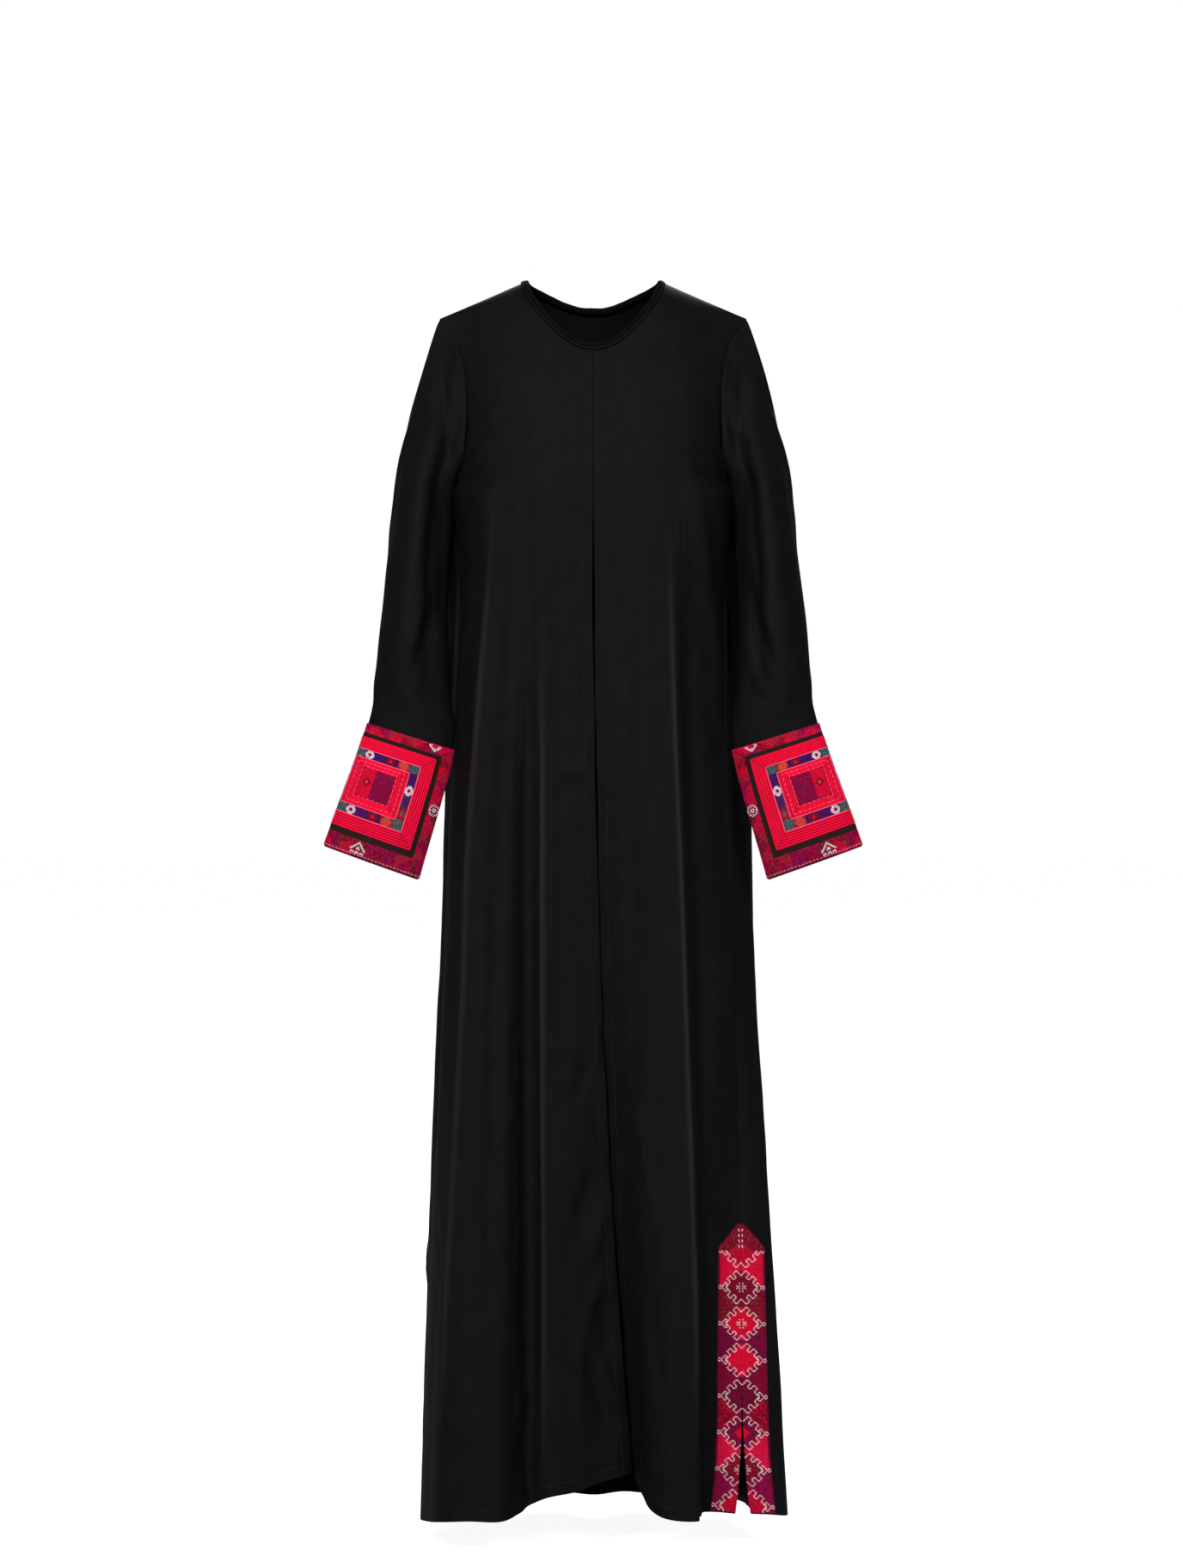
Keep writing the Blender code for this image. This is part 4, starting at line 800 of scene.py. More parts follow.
def distance_to_line(spots, line):
    """How far spots lie from a line, and how far along it they are, from 0 to 1."""
    line = np.array(line)
    nearest, along = np.full(spots.shape[:-1], 9.0), np.zeros(spots.shape[:-1])
    lengths = np.linalg.norm(np.diff(line, axis=0), axis=1)
    before = np.concatenate([[0.0], np.cumsum(lengths)])
    for n, (start, end) in enumerate(zip(line[:-1], line[1:])):
        t = np.clip(((spots - start) @ (end - start)) / lengths[n] ** 2, 0.0, 1.0)
        away = np.linalg.norm(spots - start - t[..., None] * (end - start), axis=-1)
        along = np.where(away < nearest, (before[n] + t * lengths[n]) / before[-1], along)
        nearest = np.minimum(nearest, away)
    return nearest, along


FACING = {
    "front": (0.0, -1.0, 0.0),
    "back": (0.0, 1.0, 0.0),
    "left": (1.0, 0.0, 0.0),
    "right": (-1.0, 0.0, 0.0),
}
CREASE_STRENGTH, FADE_SHARE = 1.35, 0.22
CRISP, PAINTED_HIGHLIGHT_WIDTH = 1.15, 0.0026


def crease(grid, normals, piece):
    """How far each point of a grid moves outward, and how much painted highlight it gets along crisp ridges.
    """
    moved, painted_highlight = np.zeros(grid.shape[:2]), np.zeros(grid.shape[:2])
    for (on, side), rows in CREASES.items():
        if on != piece:
            continue
        seen = seen_from(grid, side)
        faces = ease((normals @ np.array(FACING[side]) - 0.05) / 0.4)
        for width, depth, sharpness, line in rows:
            away, along = distance_to_line(seen, line)
            fade = ease(along / FADE_SHARE) * ease((1.0 - along) / FADE_SHARE)
            moved += CREASE_STRENGTH * depth * np.exp(-((away / width) ** sharpness)) * fade * faces
            # Crisp ridges also get a painted highlight: a lighter colour along the ridge line.
            if depth > 0 and sharpness < CRISP:
                painted_highlight = np.maximum(painted_highlight, np.exp(-((away / PAINTED_HIGHLIGHT_WIDTH) ** 2)) * fade * faces)
    return moved, painted_highlight


def unevenness(u, v, cell_u, cell_v, seed):
    """Smooth random values from -1 to 1 over a surface, in cells of the given size."""
    values = np.random.default_rng(seed).uniform(-1.0, 1.0, (64, 64))
    a, b = u / cell_u, v / cell_v
    i, j = np.floor(a).astype(int), np.floor(b).astype(int)
    s, t = ease(a - i), ease(b - j)
    corner = [values[(i + m) % 64, (j + n) % 64] for m, n in ((0, 0), (1, 0), (0, 1), (1, 1))]
    return (corner[0] * (1 - s) + corner[1] * s) * (1 - t) + (corner[2] * (1 - s) + corner[3] * s) * t


def run_along(grid, axis):
    """Distances along a grid's rows or columns."""
    steps = np.linalg.norm(np.diff(grid, axis=axis), axis=-1)
    start = np.zeros_like(np.take(steps, [0], axis=axis))
    return np.concatenate([start, np.cumsum(steps, axis=axis)], axis=axis)


SEAM_FURROW, FURROW_WIDTH = 0.0009, 0.0035
EDGE_WAVE, EDGE_WAVE_REACH = 0.0016, 0.035
HEM_WAVE_CELL, FRONT_WAVE_CELL, FRONT_WAVE_SHARE = 0.018, 0.026, 0.6
UNDERARM_FULLNESS, FULLNESS_DROP = 0.009, 0.075
OPENING_REACH, SLIT_REACH_FRONT, SLIT_REACH_BACK, SLIT_ROUNDNESS = 0.045, 0.056, 0.050, 1.5
PANEL_SEEDS = {"front_left": 3, "front_right": 5, "back": 7}
LONG_WAVE, LONG_CELLS, YOKE_END, YOKE_FADE = 0.0012, (0.030, 0.34), 1.30, 0.20
SHORT_WAVE, SHORT_CELLS, SHORT_LEAN = 0.0006, (0.022, 0.05), 0.3
SLEEVE_CELLS = (0.020, 0.06)
STILL_BESIDE_SEAM, STILL_BELOW_NECK = 0.010, 0.012
ABOVE_CUFF_ROW, UNDERARM_ROW = 14.0, 6.0


def open_edges(name, grid):
    """Parts the front edges and the edges of the slit."""
    heights = grid[..., 2]
    from_start = PANEL_PLACES[name] - PANEL_PLACES[name][0]
    from_end = PANEL_PLACES[name][-1] - PANEL_PLACES[name]
    knots, gaps = named_column(FRONT_OPENING, 0)[::-1], named_column(FRONT_OPENING, 1)[::-1]
    opening = 0.5 * np.interp(heights, knots, gaps)
    slit = 0.5 * SLIT_OPENING * np.clip((SLIT_HEIGHT - heights) / SLIT_HEIGHT, 0.0, 1.0) ** SLIT_CURL
    if name == "front_left":
        grid[..., 0] += opening * np.clip(1.0 - from_start / OPENING_REACH, 0.0, 1.0)
        grid[..., 0] -= slit * np.clip(1.0 - from_end / SLIT_REACH_FRONT, 0.0, 1.0) ** SLIT_ROUNDNESS
    if name == "front_right":
        grid[..., 0] -= opening * np.clip(1.0 - from_end / OPENING_REACH, 0.0, 1.0)
    if name == "back":
        grid[..., 0] += slit * np.clip(1.0 - from_start / SLIT_REACH_BACK, 0.0, 1.0) ** SLIT_ROUNDNESS
    return grid


def finish_panel(name, grid):
    """Opens the front and the slit, then adds creases, unevenness, seam furrows and wavy edges."""
    grid = open_edges(name, grid.copy())
    heights = grid[..., 2]
    normals = outward(grid)
    across, down = run_along(grid, 1), run_along(grid, 0)
    moved, painted_highlight = crease(grid, normals, "body")
    below_yoke = ease((YOKE_END - heights) / YOKE_FADE)
    seed = PANEL_SEEDS[name]
    moved += LONG_WAVE * below_yoke * unevenness(across, heights, *LONG_CELLS, seed)
    leaning = across + SHORT_LEAN * heights
    moved += SHORT_WAVE * unevenness(leaning, heights, *SHORT_CELLS, seed + 20)
    to_side = across[:, -1:] - across if name == "front_left" else across
    if name == "back":
        to_side = np.minimum(across, across[:, -1:] - across)
    front_edge = across if name == "front_left" else across[:, -1:] - across
    hem_gap = down[-1:] - down
    hem_waves = unevenness(across, heights * 0, HEM_WAVE_CELL, 1.0, seed + 40)
    moved += EDGE_WAVE * np.exp(-hem_gap / EDGE_WAVE_REACH) * hem_waves
    if name != "back":
        front_waves = unevenness(heights, across * 0, FRONT_WAVE_CELL, 1.0, seed + 60)
        moved += FRONT_WAVE_SHARE * EDGE_WAVE * np.exp(-front_edge / EDGE_WAVE_REACH) * front_waves
    moved *= ease(to_side / STILL_BESIDE_SEAM) * np.clip(down / STILL_BELOW_NECK, 0.0, 1.0)
    at_seam = np.exp(-((to_side / FURROW_WIDTH) ** 2)) + np.exp(-((down / FURROW_WIDTH) ** 2))
    moved -= SEAM_FURROW * np.clip(at_seam, 0.0, 1.0)
    drop = UNDERARM_HEIGHT - heights
    to_the_side = ease((np.abs(normals[..., 0]) - 0.35) / 0.4)
    moved += UNDERARM_FULLNESS * ease(drop / 0.012) * np.exp(-((drop / FULLNESS_DROP) ** 2)) * to_the_side
    grid += normals * moved[..., None]
    from_edge = front_edge if name != "back" else np.full_like(across, 1.0)
    return grid, across, {"from_hem": hem_gap, "from_edge": from_edge, "painted_ridge_highlight": painted_highlight}


def finish_sleeve(name, grid):
    """Adds creases and unevenness to a sleeve, with the seam at its top kept still."""
    normals = outward(grid, closed=True)
    rows = SLEEVE_ROWS[:, None]
    moved, _ = crease(grid, normals, name)
    turns = np.linspace(0.0, 2 * math.pi, grid.shape[1], endpoint=False)[None, :]
    seed = 11 if name == "sleeve_left" else 13
    around = 0.05 * np.stack([np.cos(turns), np.sin(turns)])
    soft = unevenness(around[0] + 1.0 + 0 * rows, grid[..., 2] + 0.4 * around[1], *SLEEVE_CELLS, seed)
    above_cuff = 1.0 - ease((rows - ABOVE_CUFF_ROW) / 3.0)
    moved += LONG_WAVE * soft * above_cuff
    moved *= ease(rows / 1.2) * (0.15 + 0.85 * above_cuff)
    under = np.clip(np.cos(turns), 0.0, 1.0) ** 2
    moved += UNDERARM_FULLNESS * under * ease(rows / 0.6) * (1.0 - ease((rows - UNDERARM_ROW) / 4.0))
    moved -= SEAM_FURROW * np.exp(-((rows / 0.25) ** 2))
    return grid + normals * moved[..., None]


cloth, cloth_across, cloth_edges = {}, {}, {}
for name, grid in panels.items():
    cloth[name], cloth_across[name], cloth_edges[name] = finish_panel(name, grid)
for name, grid in sleeves.items():
    cloth[name] = finish_sleeve(name, grid)
    cloth_across[name] = run_along(grid, 1)
print("creases pressed into", ", ".join(cloth))

# %% [markdown]
# ## Crepe
#
# Crepe is woven from tightly twisted yarn, so its surface is a fine dry grain with almost no gloss.
# Painted sheen, a slightly lighter colour, is mixed into it along long random streaks down the cloth.
# Grain and streaks are a shader node group, used by the panels and by the neck binding. The group gives
# out a colour and a bump direction alone, and the shader itself stays outside it. It reads the cloth's own
# UV map in metres, so the grain follows the weave round every fold.
# Two short helpers come first: one makes a node with its values, and one links nodes from a list.

# %% The crepe's node group


def link(tree, source, target):
    tree.links.new(source, target)


def wire(tree, *links):
    """Links nodes, each time from a node's output to another node's input."""
    for source, output, target, entry in links:
        link(tree, source.outputs[output], target.inputs[entry])


def add_node(tree, kind, values=None, **settings):
    """A new node with its settings, and with plain values on its inputs."""
    node = tree.nodes.new(kind)
    for name, setting in settings.items():
        setattr(node, name, setting)
    for entry, value in (values or {}).items():
        node.inputs[entry].default_value = value
    return node


def dye(red, green, blue):
    """A colour given as it looks, from 0 to 255, as the light it gives back."""
    return tuple((value / 255.0) ** 2.2 for value in (red, green, blue)) + (1.0,)


def group_sockets(tree, in_out, *sockets):
    """Gives a group its sockets on one side: name, kind, and a starting value where one is wanted."""
    for name, kind, *value in sockets:
        socket = tree.interface.new_socket(name, in_out=in_out, socket_type="NodeSocket" + kind)
        if value:
            socket.default_value = value[0]


def crepe_grain_and_sheen_group():
    """Gives a colour with streaks of painted sheen and a fine bump for crepe, from UV in metres."""
    tree = bpy.data.node_groups.new("crepe_grain_and_sheen", "ShaderNodeTree")
    group_sockets(tree, "INPUT", ("Cloth", "Color"), ("Bloom", "Color"), ("Grain depth", "Float"))
    group_sockets(tree, "OUTPUT", ("Colour", "Color"), ("Normal", "Vector"))
    entry, leave = tree.nodes.new("NodeGroupInput"), tree.nodes.new("NodeGroupOutput")
    place = add_node(tree, "ShaderNodeUVMap", uv_map="cloth_uv")
    stretch = add_node(tree, "ShaderNodeMapping", {"Scale": (1.0, 0.45, 1.0)})
    grain = add_node(tree, "ShaderNodeTexNoise", {"Scale": 1300.0, "Detail": 2.0})
    streaks = add_node(tree, "ShaderNodeTexNoise", {"Scale": 60.0, "Detail": 3.0})
    rumple = add_node(tree, "ShaderNodeTexNoise", {"Scale": 42.0, "Detail": 3.0})
    shade = add_node(tree, "ShaderNodeMix", data_type="RGBA")
    rumple_bump = add_node(tree, "ShaderNodeBump", {"Distance": 0.0012, "Strength": 0.35})
    grain_bump = add_node(tree, "ShaderNodeBump", {"Strength": 0.6})
    # The lighter second colour is painted sheen, mixed in where the long streaks are.
    wire(
        tree,
        (place, "UV", stretch, "Vector"),
        (stretch, "Vector", grain, "Vector"),
        (stretch, "Vector", streaks, "Vector"),
        (stretch, "Vector", rumple, "Vector"),
        (streaks, "Fac", shade, "Factor"),
        (entry, "Cloth", shade, "A"),
        (entry, "Bloom", shade, "B"),
        (rumple, "Fac", rumple_bump, "Height"),
        (grain, "Fac", grain_bump, "Height"),
        (entry, "Grain depth", grain_bump, "Distance"),
        (rumple_bump, "Normal", grain_bump, "Normal"),
        (shade, "Result", leave, "Colour"),
        (grain_bump, "Normal", leave, "Normal"),
    )
    return tree


CREPE_GRAIN_AND_SHEEN = crepe_grain_and_sheen_group()


def shader_of(name, roughness, specular, sheen, sheen_roughness, sheen_tint):
    """A new material, its tree and its shader, with plain values on the shader's own sockets."""
    material = bpy.data.materials.new(name)
    material.use_nodes = True
    shader = material.node_tree.nodes["Principled BSDF"]
    values = {
        "Roughness": roughness,
        "Specular IOR Level": specular,
        "Sheen Weight": sheen,
        "Sheen Roughness": sheen_roughness,
        "Sheen Tint": sheen_tint,
    }
    for entry, value in values.items():
        shader.inputs[entry].default_value = value
    return material, material.node_tree, shader


# Painted highlight: the lighter colour that the shader paints along crisp ridges.
RIDGE_PAINTED_HIGHLIGHT = dye(40, 38, 41)
FRONT_STITCH_LINE, HEM_STITCH_LINE = 0.013, 0.015
GROOVE_WIDTH, GROOVE_DEPTH = 0.0016, 0.0006


def stitch_groove(tree, attribute, line, normal):
    """A node that bends the cloth's direction along the line of a row of stitches."""
    read = add_node(tree, "ShaderNodeAttribute", attribute_name=attribute)
    off = add_node(tree, "ShaderNodeMath", {1: line}, operation="SUBTRACT")
    size = add_node(tree, "ShaderNodeMath", operation="ABSOLUTE")
    groove = add_node(tree, "ShaderNodeMapRange", {"From Max": GROOVE_WIDTH}, interpolation_type="SMOOTHSTEP")
    bump = add_node(tree, "ShaderNodeBump", {"Distance": GROOVE_DEPTH})
    wire(
        tree,
        (read, "Fac", off, 0),
        (off, 0, size, 0),
        (size, 0, groove, "Value"),
        (groove, "Result", bump, "Height"),
        (normal, "Normal", bump, "Normal"),
    )
    return bump


def crepe_material(name, cloth_colour, painted_sheen_colour, roughness, specular, grain_depth):
    """Crepe with a painted highlight along crisp ridges, and a groove under each row of topstitching."""
    material, tree, shader = shader_of(name, roughness, specular, 0.0, 0.45, (0.9, 0.92, 1.0, 1.0))
    grain = add_node(tree, "ShaderNodeGroup", node_tree=CREPE_GRAIN_AND_SHEEN)
    for entry, value in (("Cloth", cloth_colour), ("Bloom", painted_sheen_colour), ("Grain depth", grain_depth)):
        grain.inputs[entry].default_value = value
    # Reads how much painted highlight lies here, and mixes the lighter colour into the cloth by it.
    painted_highlight = add_node(tree, "ShaderNodeAttribute", attribute_name="painted_ridge_highlight")
    with_painted_highlight = add_node(tree, "ShaderNodeMix", {"B": RIDGE_PAINTED_HIGHLIGHT}, data_type="RGBA")
    at_front = stitch_groove(tree, "from_edge", FRONT_STITCH_LINE, grain)
    at_hem = stitch_groove(tree, "from_hem", HEM_STITCH_LINE, at_front)
    wire(
        tree,
        (painted_highlight, "Fac", with_painted_highlight, "Factor"),
        (grain, "Colour", with_painted_highlight, "A"),
        (with_painted_highlight, "Result", shader, "Base Color"),
        (at_hem, "Normal", shader, "Normal"),
    )
    return material


# The second colour of each crepe is its painted sheen, laid in long streaks.
CREPE = crepe_material("black_crepe", dye(18, 17, 19), dye(26, 25, 27), 0.68, 0.055, 0.00022)
BINDING = crepe_material("neck_binding_crepe", dye(17, 16, 18), dye(23, 22, 25), 0.92, 0.015, 0.0002)
print("crepe mixed")

# %% [markdown]
# ## The panels and sleeves as cloth
#
# Each grid becomes one mesh, with its UV map in metres and the three values that the shader needs: how far
# the front edge is, how far the hem is, and how much painted highlight lies on the place. The Solidify
# modifier then gives it the thickness of cloth, inwards, so that the outside stays exactly on the solid's
# form. The last cells state the size of each flat cut.

# %% Cloth meshes
CLOTH_THICKNESS = 0.0008
LARGEST_UV_STEP = 0.1


def smooth(mesh):
    mesh.polygons.foreach_set("use_smooth", [True] * len(mesh.polygons))


def grid_faces(rows, columns, closed):
    last = columns if closed else columns - 1
    row, column = np.meshgrid(np.arange(rows - 1), np.arange(last), indexing="ij")
    near, far = row * columns + column, row * columns + (column + 1) % columns
    return np.stack([near, near + columns, far + columns, far], axis=-1).reshape(-1, 4)


def grid_mesh(name, grid, across, closed=False, attributes=None):
    """A mesh from a grid, lowered from tailor's heights to the model's zero, with its UV map."""
    rows, columns = grid.shape[:2]
    faces = grid_faces(rows, columns, closed)
    mesh = bpy.data.meshes.new(name)
    points = grid.reshape(-1, 3) - (0.0, 0.0, SHOULDER_HEIGHT)
    mesh.from_pydata(points.tolist(), [], faces.tolist())
    uv = np.stack([across, grid[..., 2]], axis=-1).reshape(-1, 2)
    corners = uv[faces.ravel()]
    if closed:
        wrapped = corners.reshape(-1, 4, 2)
        torn = (wrapped[..., 0].max(axis=1) - wrapped[..., 0].min(axis=1)) > LARGEST_UV_STEP
        around = wrapped[..., 0].max()
        wrapped[torn, 2:, 0] = around
        corners = wrapped.reshape(-1, 2)
    mesh.uv_layers.new(name="cloth_uv").data.foreach_set("uv", corners.ravel())
    for label, values in (attributes or {}).items():
        mesh.attributes.new(label, "FLOAT", "POINT").data.foreach_set("value", values.ravel())
    smooth(mesh)
    mesh.update()
    return put_in_scene(name, mesh)


def thicken(piece, thickness):
    wall = piece.modifiers.new("cloth_thickness", "SOLIDIFY")
    wall.thickness = thickness
    wall.offset = -1.0
    return piece


def far_from_edges(grid):
    """The shader's values for cloth that has no stitched edge and no painted highlight."""
    plain = {"from_hem": 1.0, "from_edge": 1.0, "painted_ridge_highlight": 0.0}
    return {label: np.full(grid.shape[:2], value) for label, value in plain.items()}


for name, grid in cloth.items():
    closed = name.startswith("sleeve")
    attributes = far_from_edges(grid) if closed else cloth_edges[name]
    piece = grid_mesh(name + "_cloth", grid, cloth_across[name], closed, attributes)
    piece.data.materials.append(CREPE)
    thicken(piece, CLOTH_THICKNESS)
    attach(piece, "root")
    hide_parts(name)
    print(name, len(piece.data.polygons), "faces")

# %% [markdown]
# ## Thread
#
# Embroidery thread has a soft gloss and fine fibres. Every coloured stitch takes its colour from an
# attribute named thread, so one material serves a whole panel, and the ground cloth under the stitches is
# a duller version of it. The fibre bump is a second node group, shared by all threads.

# %% Thread materials
THREADS = {
    "bright red": dye(248, 2, 60),
    "crimson": dye(206, 8, 56),
    "maroon": dye(134, 4, 44),
    "wine": dye(96, 4, 44),
    "purple": dye(132, 2, 74),
    "magenta": dye(178, 8, 92),
    "brown rose": dye(158, 60, 60),
    "rose": dye(240, 30, 86),
    "pale pink": dye(255, 240, 243),
    "pink": dye(238, 128, 156),
    "navy": dye(16, 20, 124),
    "deep blue": dye(16, 28, 76),
    "teal": dye(0, 132, 122),
    "dark teal": dye(0, 66, 84),
    "orange": dye(222, 124, 74),
    "braid brown": dye(42, 31, 27),
}


def thread_fibre_group():
    """Gives a colour with slight unevenness and a fine fibrous bump."""
    tree = bpy.data.node_groups.new("thread_fibre", "ShaderNodeTree")
    group_sockets(tree, "INPUT", ("Dye", "Color"))
    group_sockets(tree, "OUTPUT", ("Colour", "Color"), ("Normal", "Vector"))
    entry, leave = tree.nodes.new("NodeGroupInput"), tree.nodes.new("NodeGroupOutput")
    place = tree.nodes.new("ShaderNodeTexCoord")
    patches = add_node(tree, "ShaderNodeTexNoise", {"Scale": 160.0})
    fibre = add_node(tree, "ShaderNodeTexNoise", {"Scale": 2600.0})
    spread = add_node(tree, "ShaderNodeMapRange", {"To Min": 0.78, "To Max": 1.18})
    shade = add_node(tree, "ShaderNodeVectorMath", operation="SCALE")
    bump = add_node(tree, "ShaderNodeBump", {"Distance": 0.0002, "Strength": 0.5})
    wire(
        tree,
        (place, "Object", patches, "Vector"),
        (place, "Object", fibre, "Vector"),
        (patches, "Fac", spread, "Value"),
        (entry, "Dye", shade, 0),
        (spread, "Result", shade, "Scale"),
        (fibre, "Fac", bump, "Height"),
        (shade, "Vector", leave, "Colour"),
        (bump, "Normal", leave, "Normal"),
    )
    return tree


THREAD_FIBRE = thread_fibre_group()


THREAD_SPECULAR, THREAD_SHEEN_TINT = 0.12, (1.0, 0.7, 0.8, 1.0)


def ribs_along(tree, pitch, normal):
    """A node that adds ribs at a pitch along a cord, as one thread wound on another has."""
    run = add_node(tree, "ShaderNodeAttribute", attribute_name="run")
    turns = add_node(tree, "ShaderNodeMath", {1: 2 * math.pi / pitch}, operation="MULTIPLY")
    wave = add_node(tree, "ShaderNodeMath", operation="SINE")
    bump = add_node(tree, "ShaderNodeBump", {"Distance": 0.00035, "Strength": 0.4})
    wire(
        tree,
        (run, "Fac", turns, 0),
        (turns, 0, wave, 0),
        (wave, 0, bump, "Height"),
        (normal, "Normal", bump, "Normal"),
    )
    return bump


def thread_material(name, colour=None, roughness=0.55, sheen=0.015, ribs=None):
    """Thread of one colour, or of the stitches' own colours, with ribs at a pitch along a cord if given."""
    material, tree, shader = shader_of(name, roughness, THREAD_SPECULAR, sheen, 0.4, THREAD_SHEEN_TINT)
    fibre = add_node(tree, "ShaderNodeGroup", node_tree=THREAD_FIBRE)
    if colour is None:
        own = add_node(tree, "ShaderNodeAttribute", attribute_name="thread")
        wire(tree, (own, "Color", fibre, "Dye"))
    else:
        fibre.inputs["Dye"].default_value = colour
    surface = ribs_along(tree, ribs, fibre) if ribs else fibre
    wire(tree, (fibre, "Colour", shader, "Base Color"), (surface, "Normal", shader, "Normal"))
    return material


COLOURED_THREAD = thread_material("coloured_thread")
RED_CORD = thread_material("red_couched_thread", THREADS["bright red"], 0.5, 0.015, 0.0011)
PINK_CORD = thread_material("pink_outline_thread", THREADS["pink"], 0.5, 0.015, 0.0009)
PINK_THREAD = thread_material("pink_dash_thread", THREADS["pink"])
BRAID_THREAD = thread_material("brown_braid_thread", THREADS["braid brown"], 0.6, 0.02)
EDGE_CORD = thread_material("dark_edge_cord", dye(58, 8, 26), 0.6, 0.02, 0.0010)
# Black thread, given a grey far lighter than the cloth as painted sheen, so that its stitches show light.
BLACK_THREAD = thread_material("black_thread", dye(44, 42, 46), 0.55, 0.0)
print(len(THREADS), "thread colours")

# %% [markdown]
# ## A stitch, and how stitches are placed
#
# A stitch is a short raised ridge of thread. Eight triangles are enough for one, because thousands are
# placed. They could be copied by hand, or by an array, but on folded cloth each needs its own direction.
# Geometry Nodes do that: every place is a vertex that carries the direction out of the cloth, the
# direction of the stitch, its size and its colour, and the tree turns one small form to each of them.

# %% Forms of stitches
TIP_LENGTH = 0.6


def strand(start, end, width, height, base, first):
    """One strand of thread, flat below and ridged above, with its corners numbered from first."""
    start, end = np.array(start, float), np.array(end, float)
    along = unit(end - start)
    aside, tip = np.array((-along[1], along[0])) * width / 2, along * width * TIP_LENGTH
    points = [(*spot, base) for spot in (start + aside, start - aside, end - aside, end + aside)]
    points += [(*(start + tip), base + height), (*(end - tip), base + height)]
    faces = [(3, 2, 1, 0), (1, 2, 5, 4), (3, 0, 4, 5), (0, 1, 4), (2, 3, 5)]
    return points, [tuple(first + corner for corner in face) for face in faces]


def stitch_form(name, strands):
    """A small mesh of a few strands, which is removed once all the sewing is done."""
    points, faces = [], []
    for start, end, width, height, base in strands:
        more_points, more_faces = strand(start, end, width, height, base, len(points))
        points, faces = points + more_points, faces + more_faces
    mesh = bpy.data.meshes.new(name)
    mesh.from_pydata(points, [], faces)
    smooth(mesh)
    return put_in_scene(name, mesh)


CROSS = stitch_form(
    "cross_form",
    (
        ((-0.47, -0.47), (0.47, 0.47), 0.40, 0.26, -0.06),
        ((-0.47, 0.47), (0.47, -0.47), 0.40, 0.26, 0.03),
    ),
)
RUNNING = stitch_form("running_form", (((-0.0013, 0.0), (0.0013, 0.0), 0.00075, 0.00035, -0.0001),))
DASH = stitch_form("dash_form", (((-0.0020, 0.0), (0.0020, 0.0), 0.0006, 0.0004, -0.0001),))
BRAID_STRAND = (0.0014, 0.0008, -0.0003)
BRAID_RISING = stitch_form("braid_rising_form", (((-0.0012, -0.0016), (0.0012, 0.0016), *BRAID_STRAND),))
BRAID_FALLING = stitch_form("braid_falling_form", (((-0.0012, 0.0016), (0.0012, -0.0016), *BRAID_STRAND),))
FORMS = (CROSS, RUNNING, DASH, BRAID_RISING, BRAID_FALLING)
print(len(FORMS), "forms of stitches")

# %% [markdown]
# ## The three trees
#
# One tree puts a stitch on every single place, one puts stitches at an even spacing along lines, and one
# lays a round cord along lines. The first two share the nodes that turn a stitch to the cloth.

# %% Geometry Nodes that place stitches


def new_tree(name, inputs):
    """A tree with a geometry going in and out, and the named inputs."""
    tree = bpy.data.node_groups.new(name, "GeometryNodeTree")
    group_sockets(tree, "INPUT", ("Geometry", "Geometry"), *inputs)
    group_sockets(tree, "OUTPUT", ("Geometry", "Geometry"))
    return tree, tree.nodes.new("NodeGroupInput"), tree.nodes.new("NodeGroupOutput")


def named_value(tree, name, kind):
    read = add_node(tree, "GeometryNodeInputNamedAttribute", {"Name": name}, data_type=kind)
    return read.outputs["Attribute"]


STITCH_INPUTS = (
    ("Stitch", "Object"),
    ("Thread", "Material"),
    ("Smallest", "Float", 0.94),
    ("Largest", "Float", 1.06),
    ("Seed", "Int", 1),
)
LINE_INPUTS = STITCH_INPUTS + (("Spacing", "Float", 0.0035),)
CORD_INPUTS = (("Radius", "Float", 0.0014), ("Sides", "Int", 6), ("Thread", "Material"))


def place_stitches(tree, entry, leave, places, along, size=None):
    """Adds the nodes that put a stitch on each place, turned to the cloth, and give it its thread."""
    turn = add_node(tree, "FunctionNodeAxesToRotation", primary_axis="Z", secondary_axis="X")
    form = tree.nodes.new("GeometryNodeObjectInfo")
    uneven = tree.nodes.new("FunctionNodeRandomValue")
    put = tree.nodes.new("GeometryNodeInstanceOnPoints")
    real = tree.nodes.new("GeometryNodeRealizeInstances")
    thread = tree.nodes.new("GeometryNodeSetMaterial")
    sockets = {socket.identifier: socket for socket in uneven.inputs}
    for name, target in (("Smallest", "Min_001"), ("Largest", "Max_001"), ("Seed", "Seed")):
        link(tree, entry.outputs[name], sockets[target])
    scale = uneven.outputs[1]
    if size is not None:
        sized = add_node(tree, "ShaderNodeMath", operation="MULTIPLY")
        link(tree, scale, sized.inputs[0])
        link(tree, size, sized.inputs[1])
        scale = sized.outputs[0]
    link(tree, scale, put.inputs["Scale"])
    link(tree, places, put.inputs["Points"])
    link(tree, named_value(tree, "outward", "FLOAT_VECTOR"), turn.inputs["Primary Axis"])
    link(tree, along, turn.inputs["Secondary Axis"])
    wire(
        tree,
        (entry, "Stitch", form, "Object"),
        (form, "Geometry", put, "Instance"),
        (turn, "Rotation", put, "Rotation"),
        (put, "Instances", real, "Geometry"),
        (real, "Geometry", thread, "Geometry"),
        (entry, "Thread", thread, "Material"),
        (thread, "Geometry", leave, "Geometry"),
    )


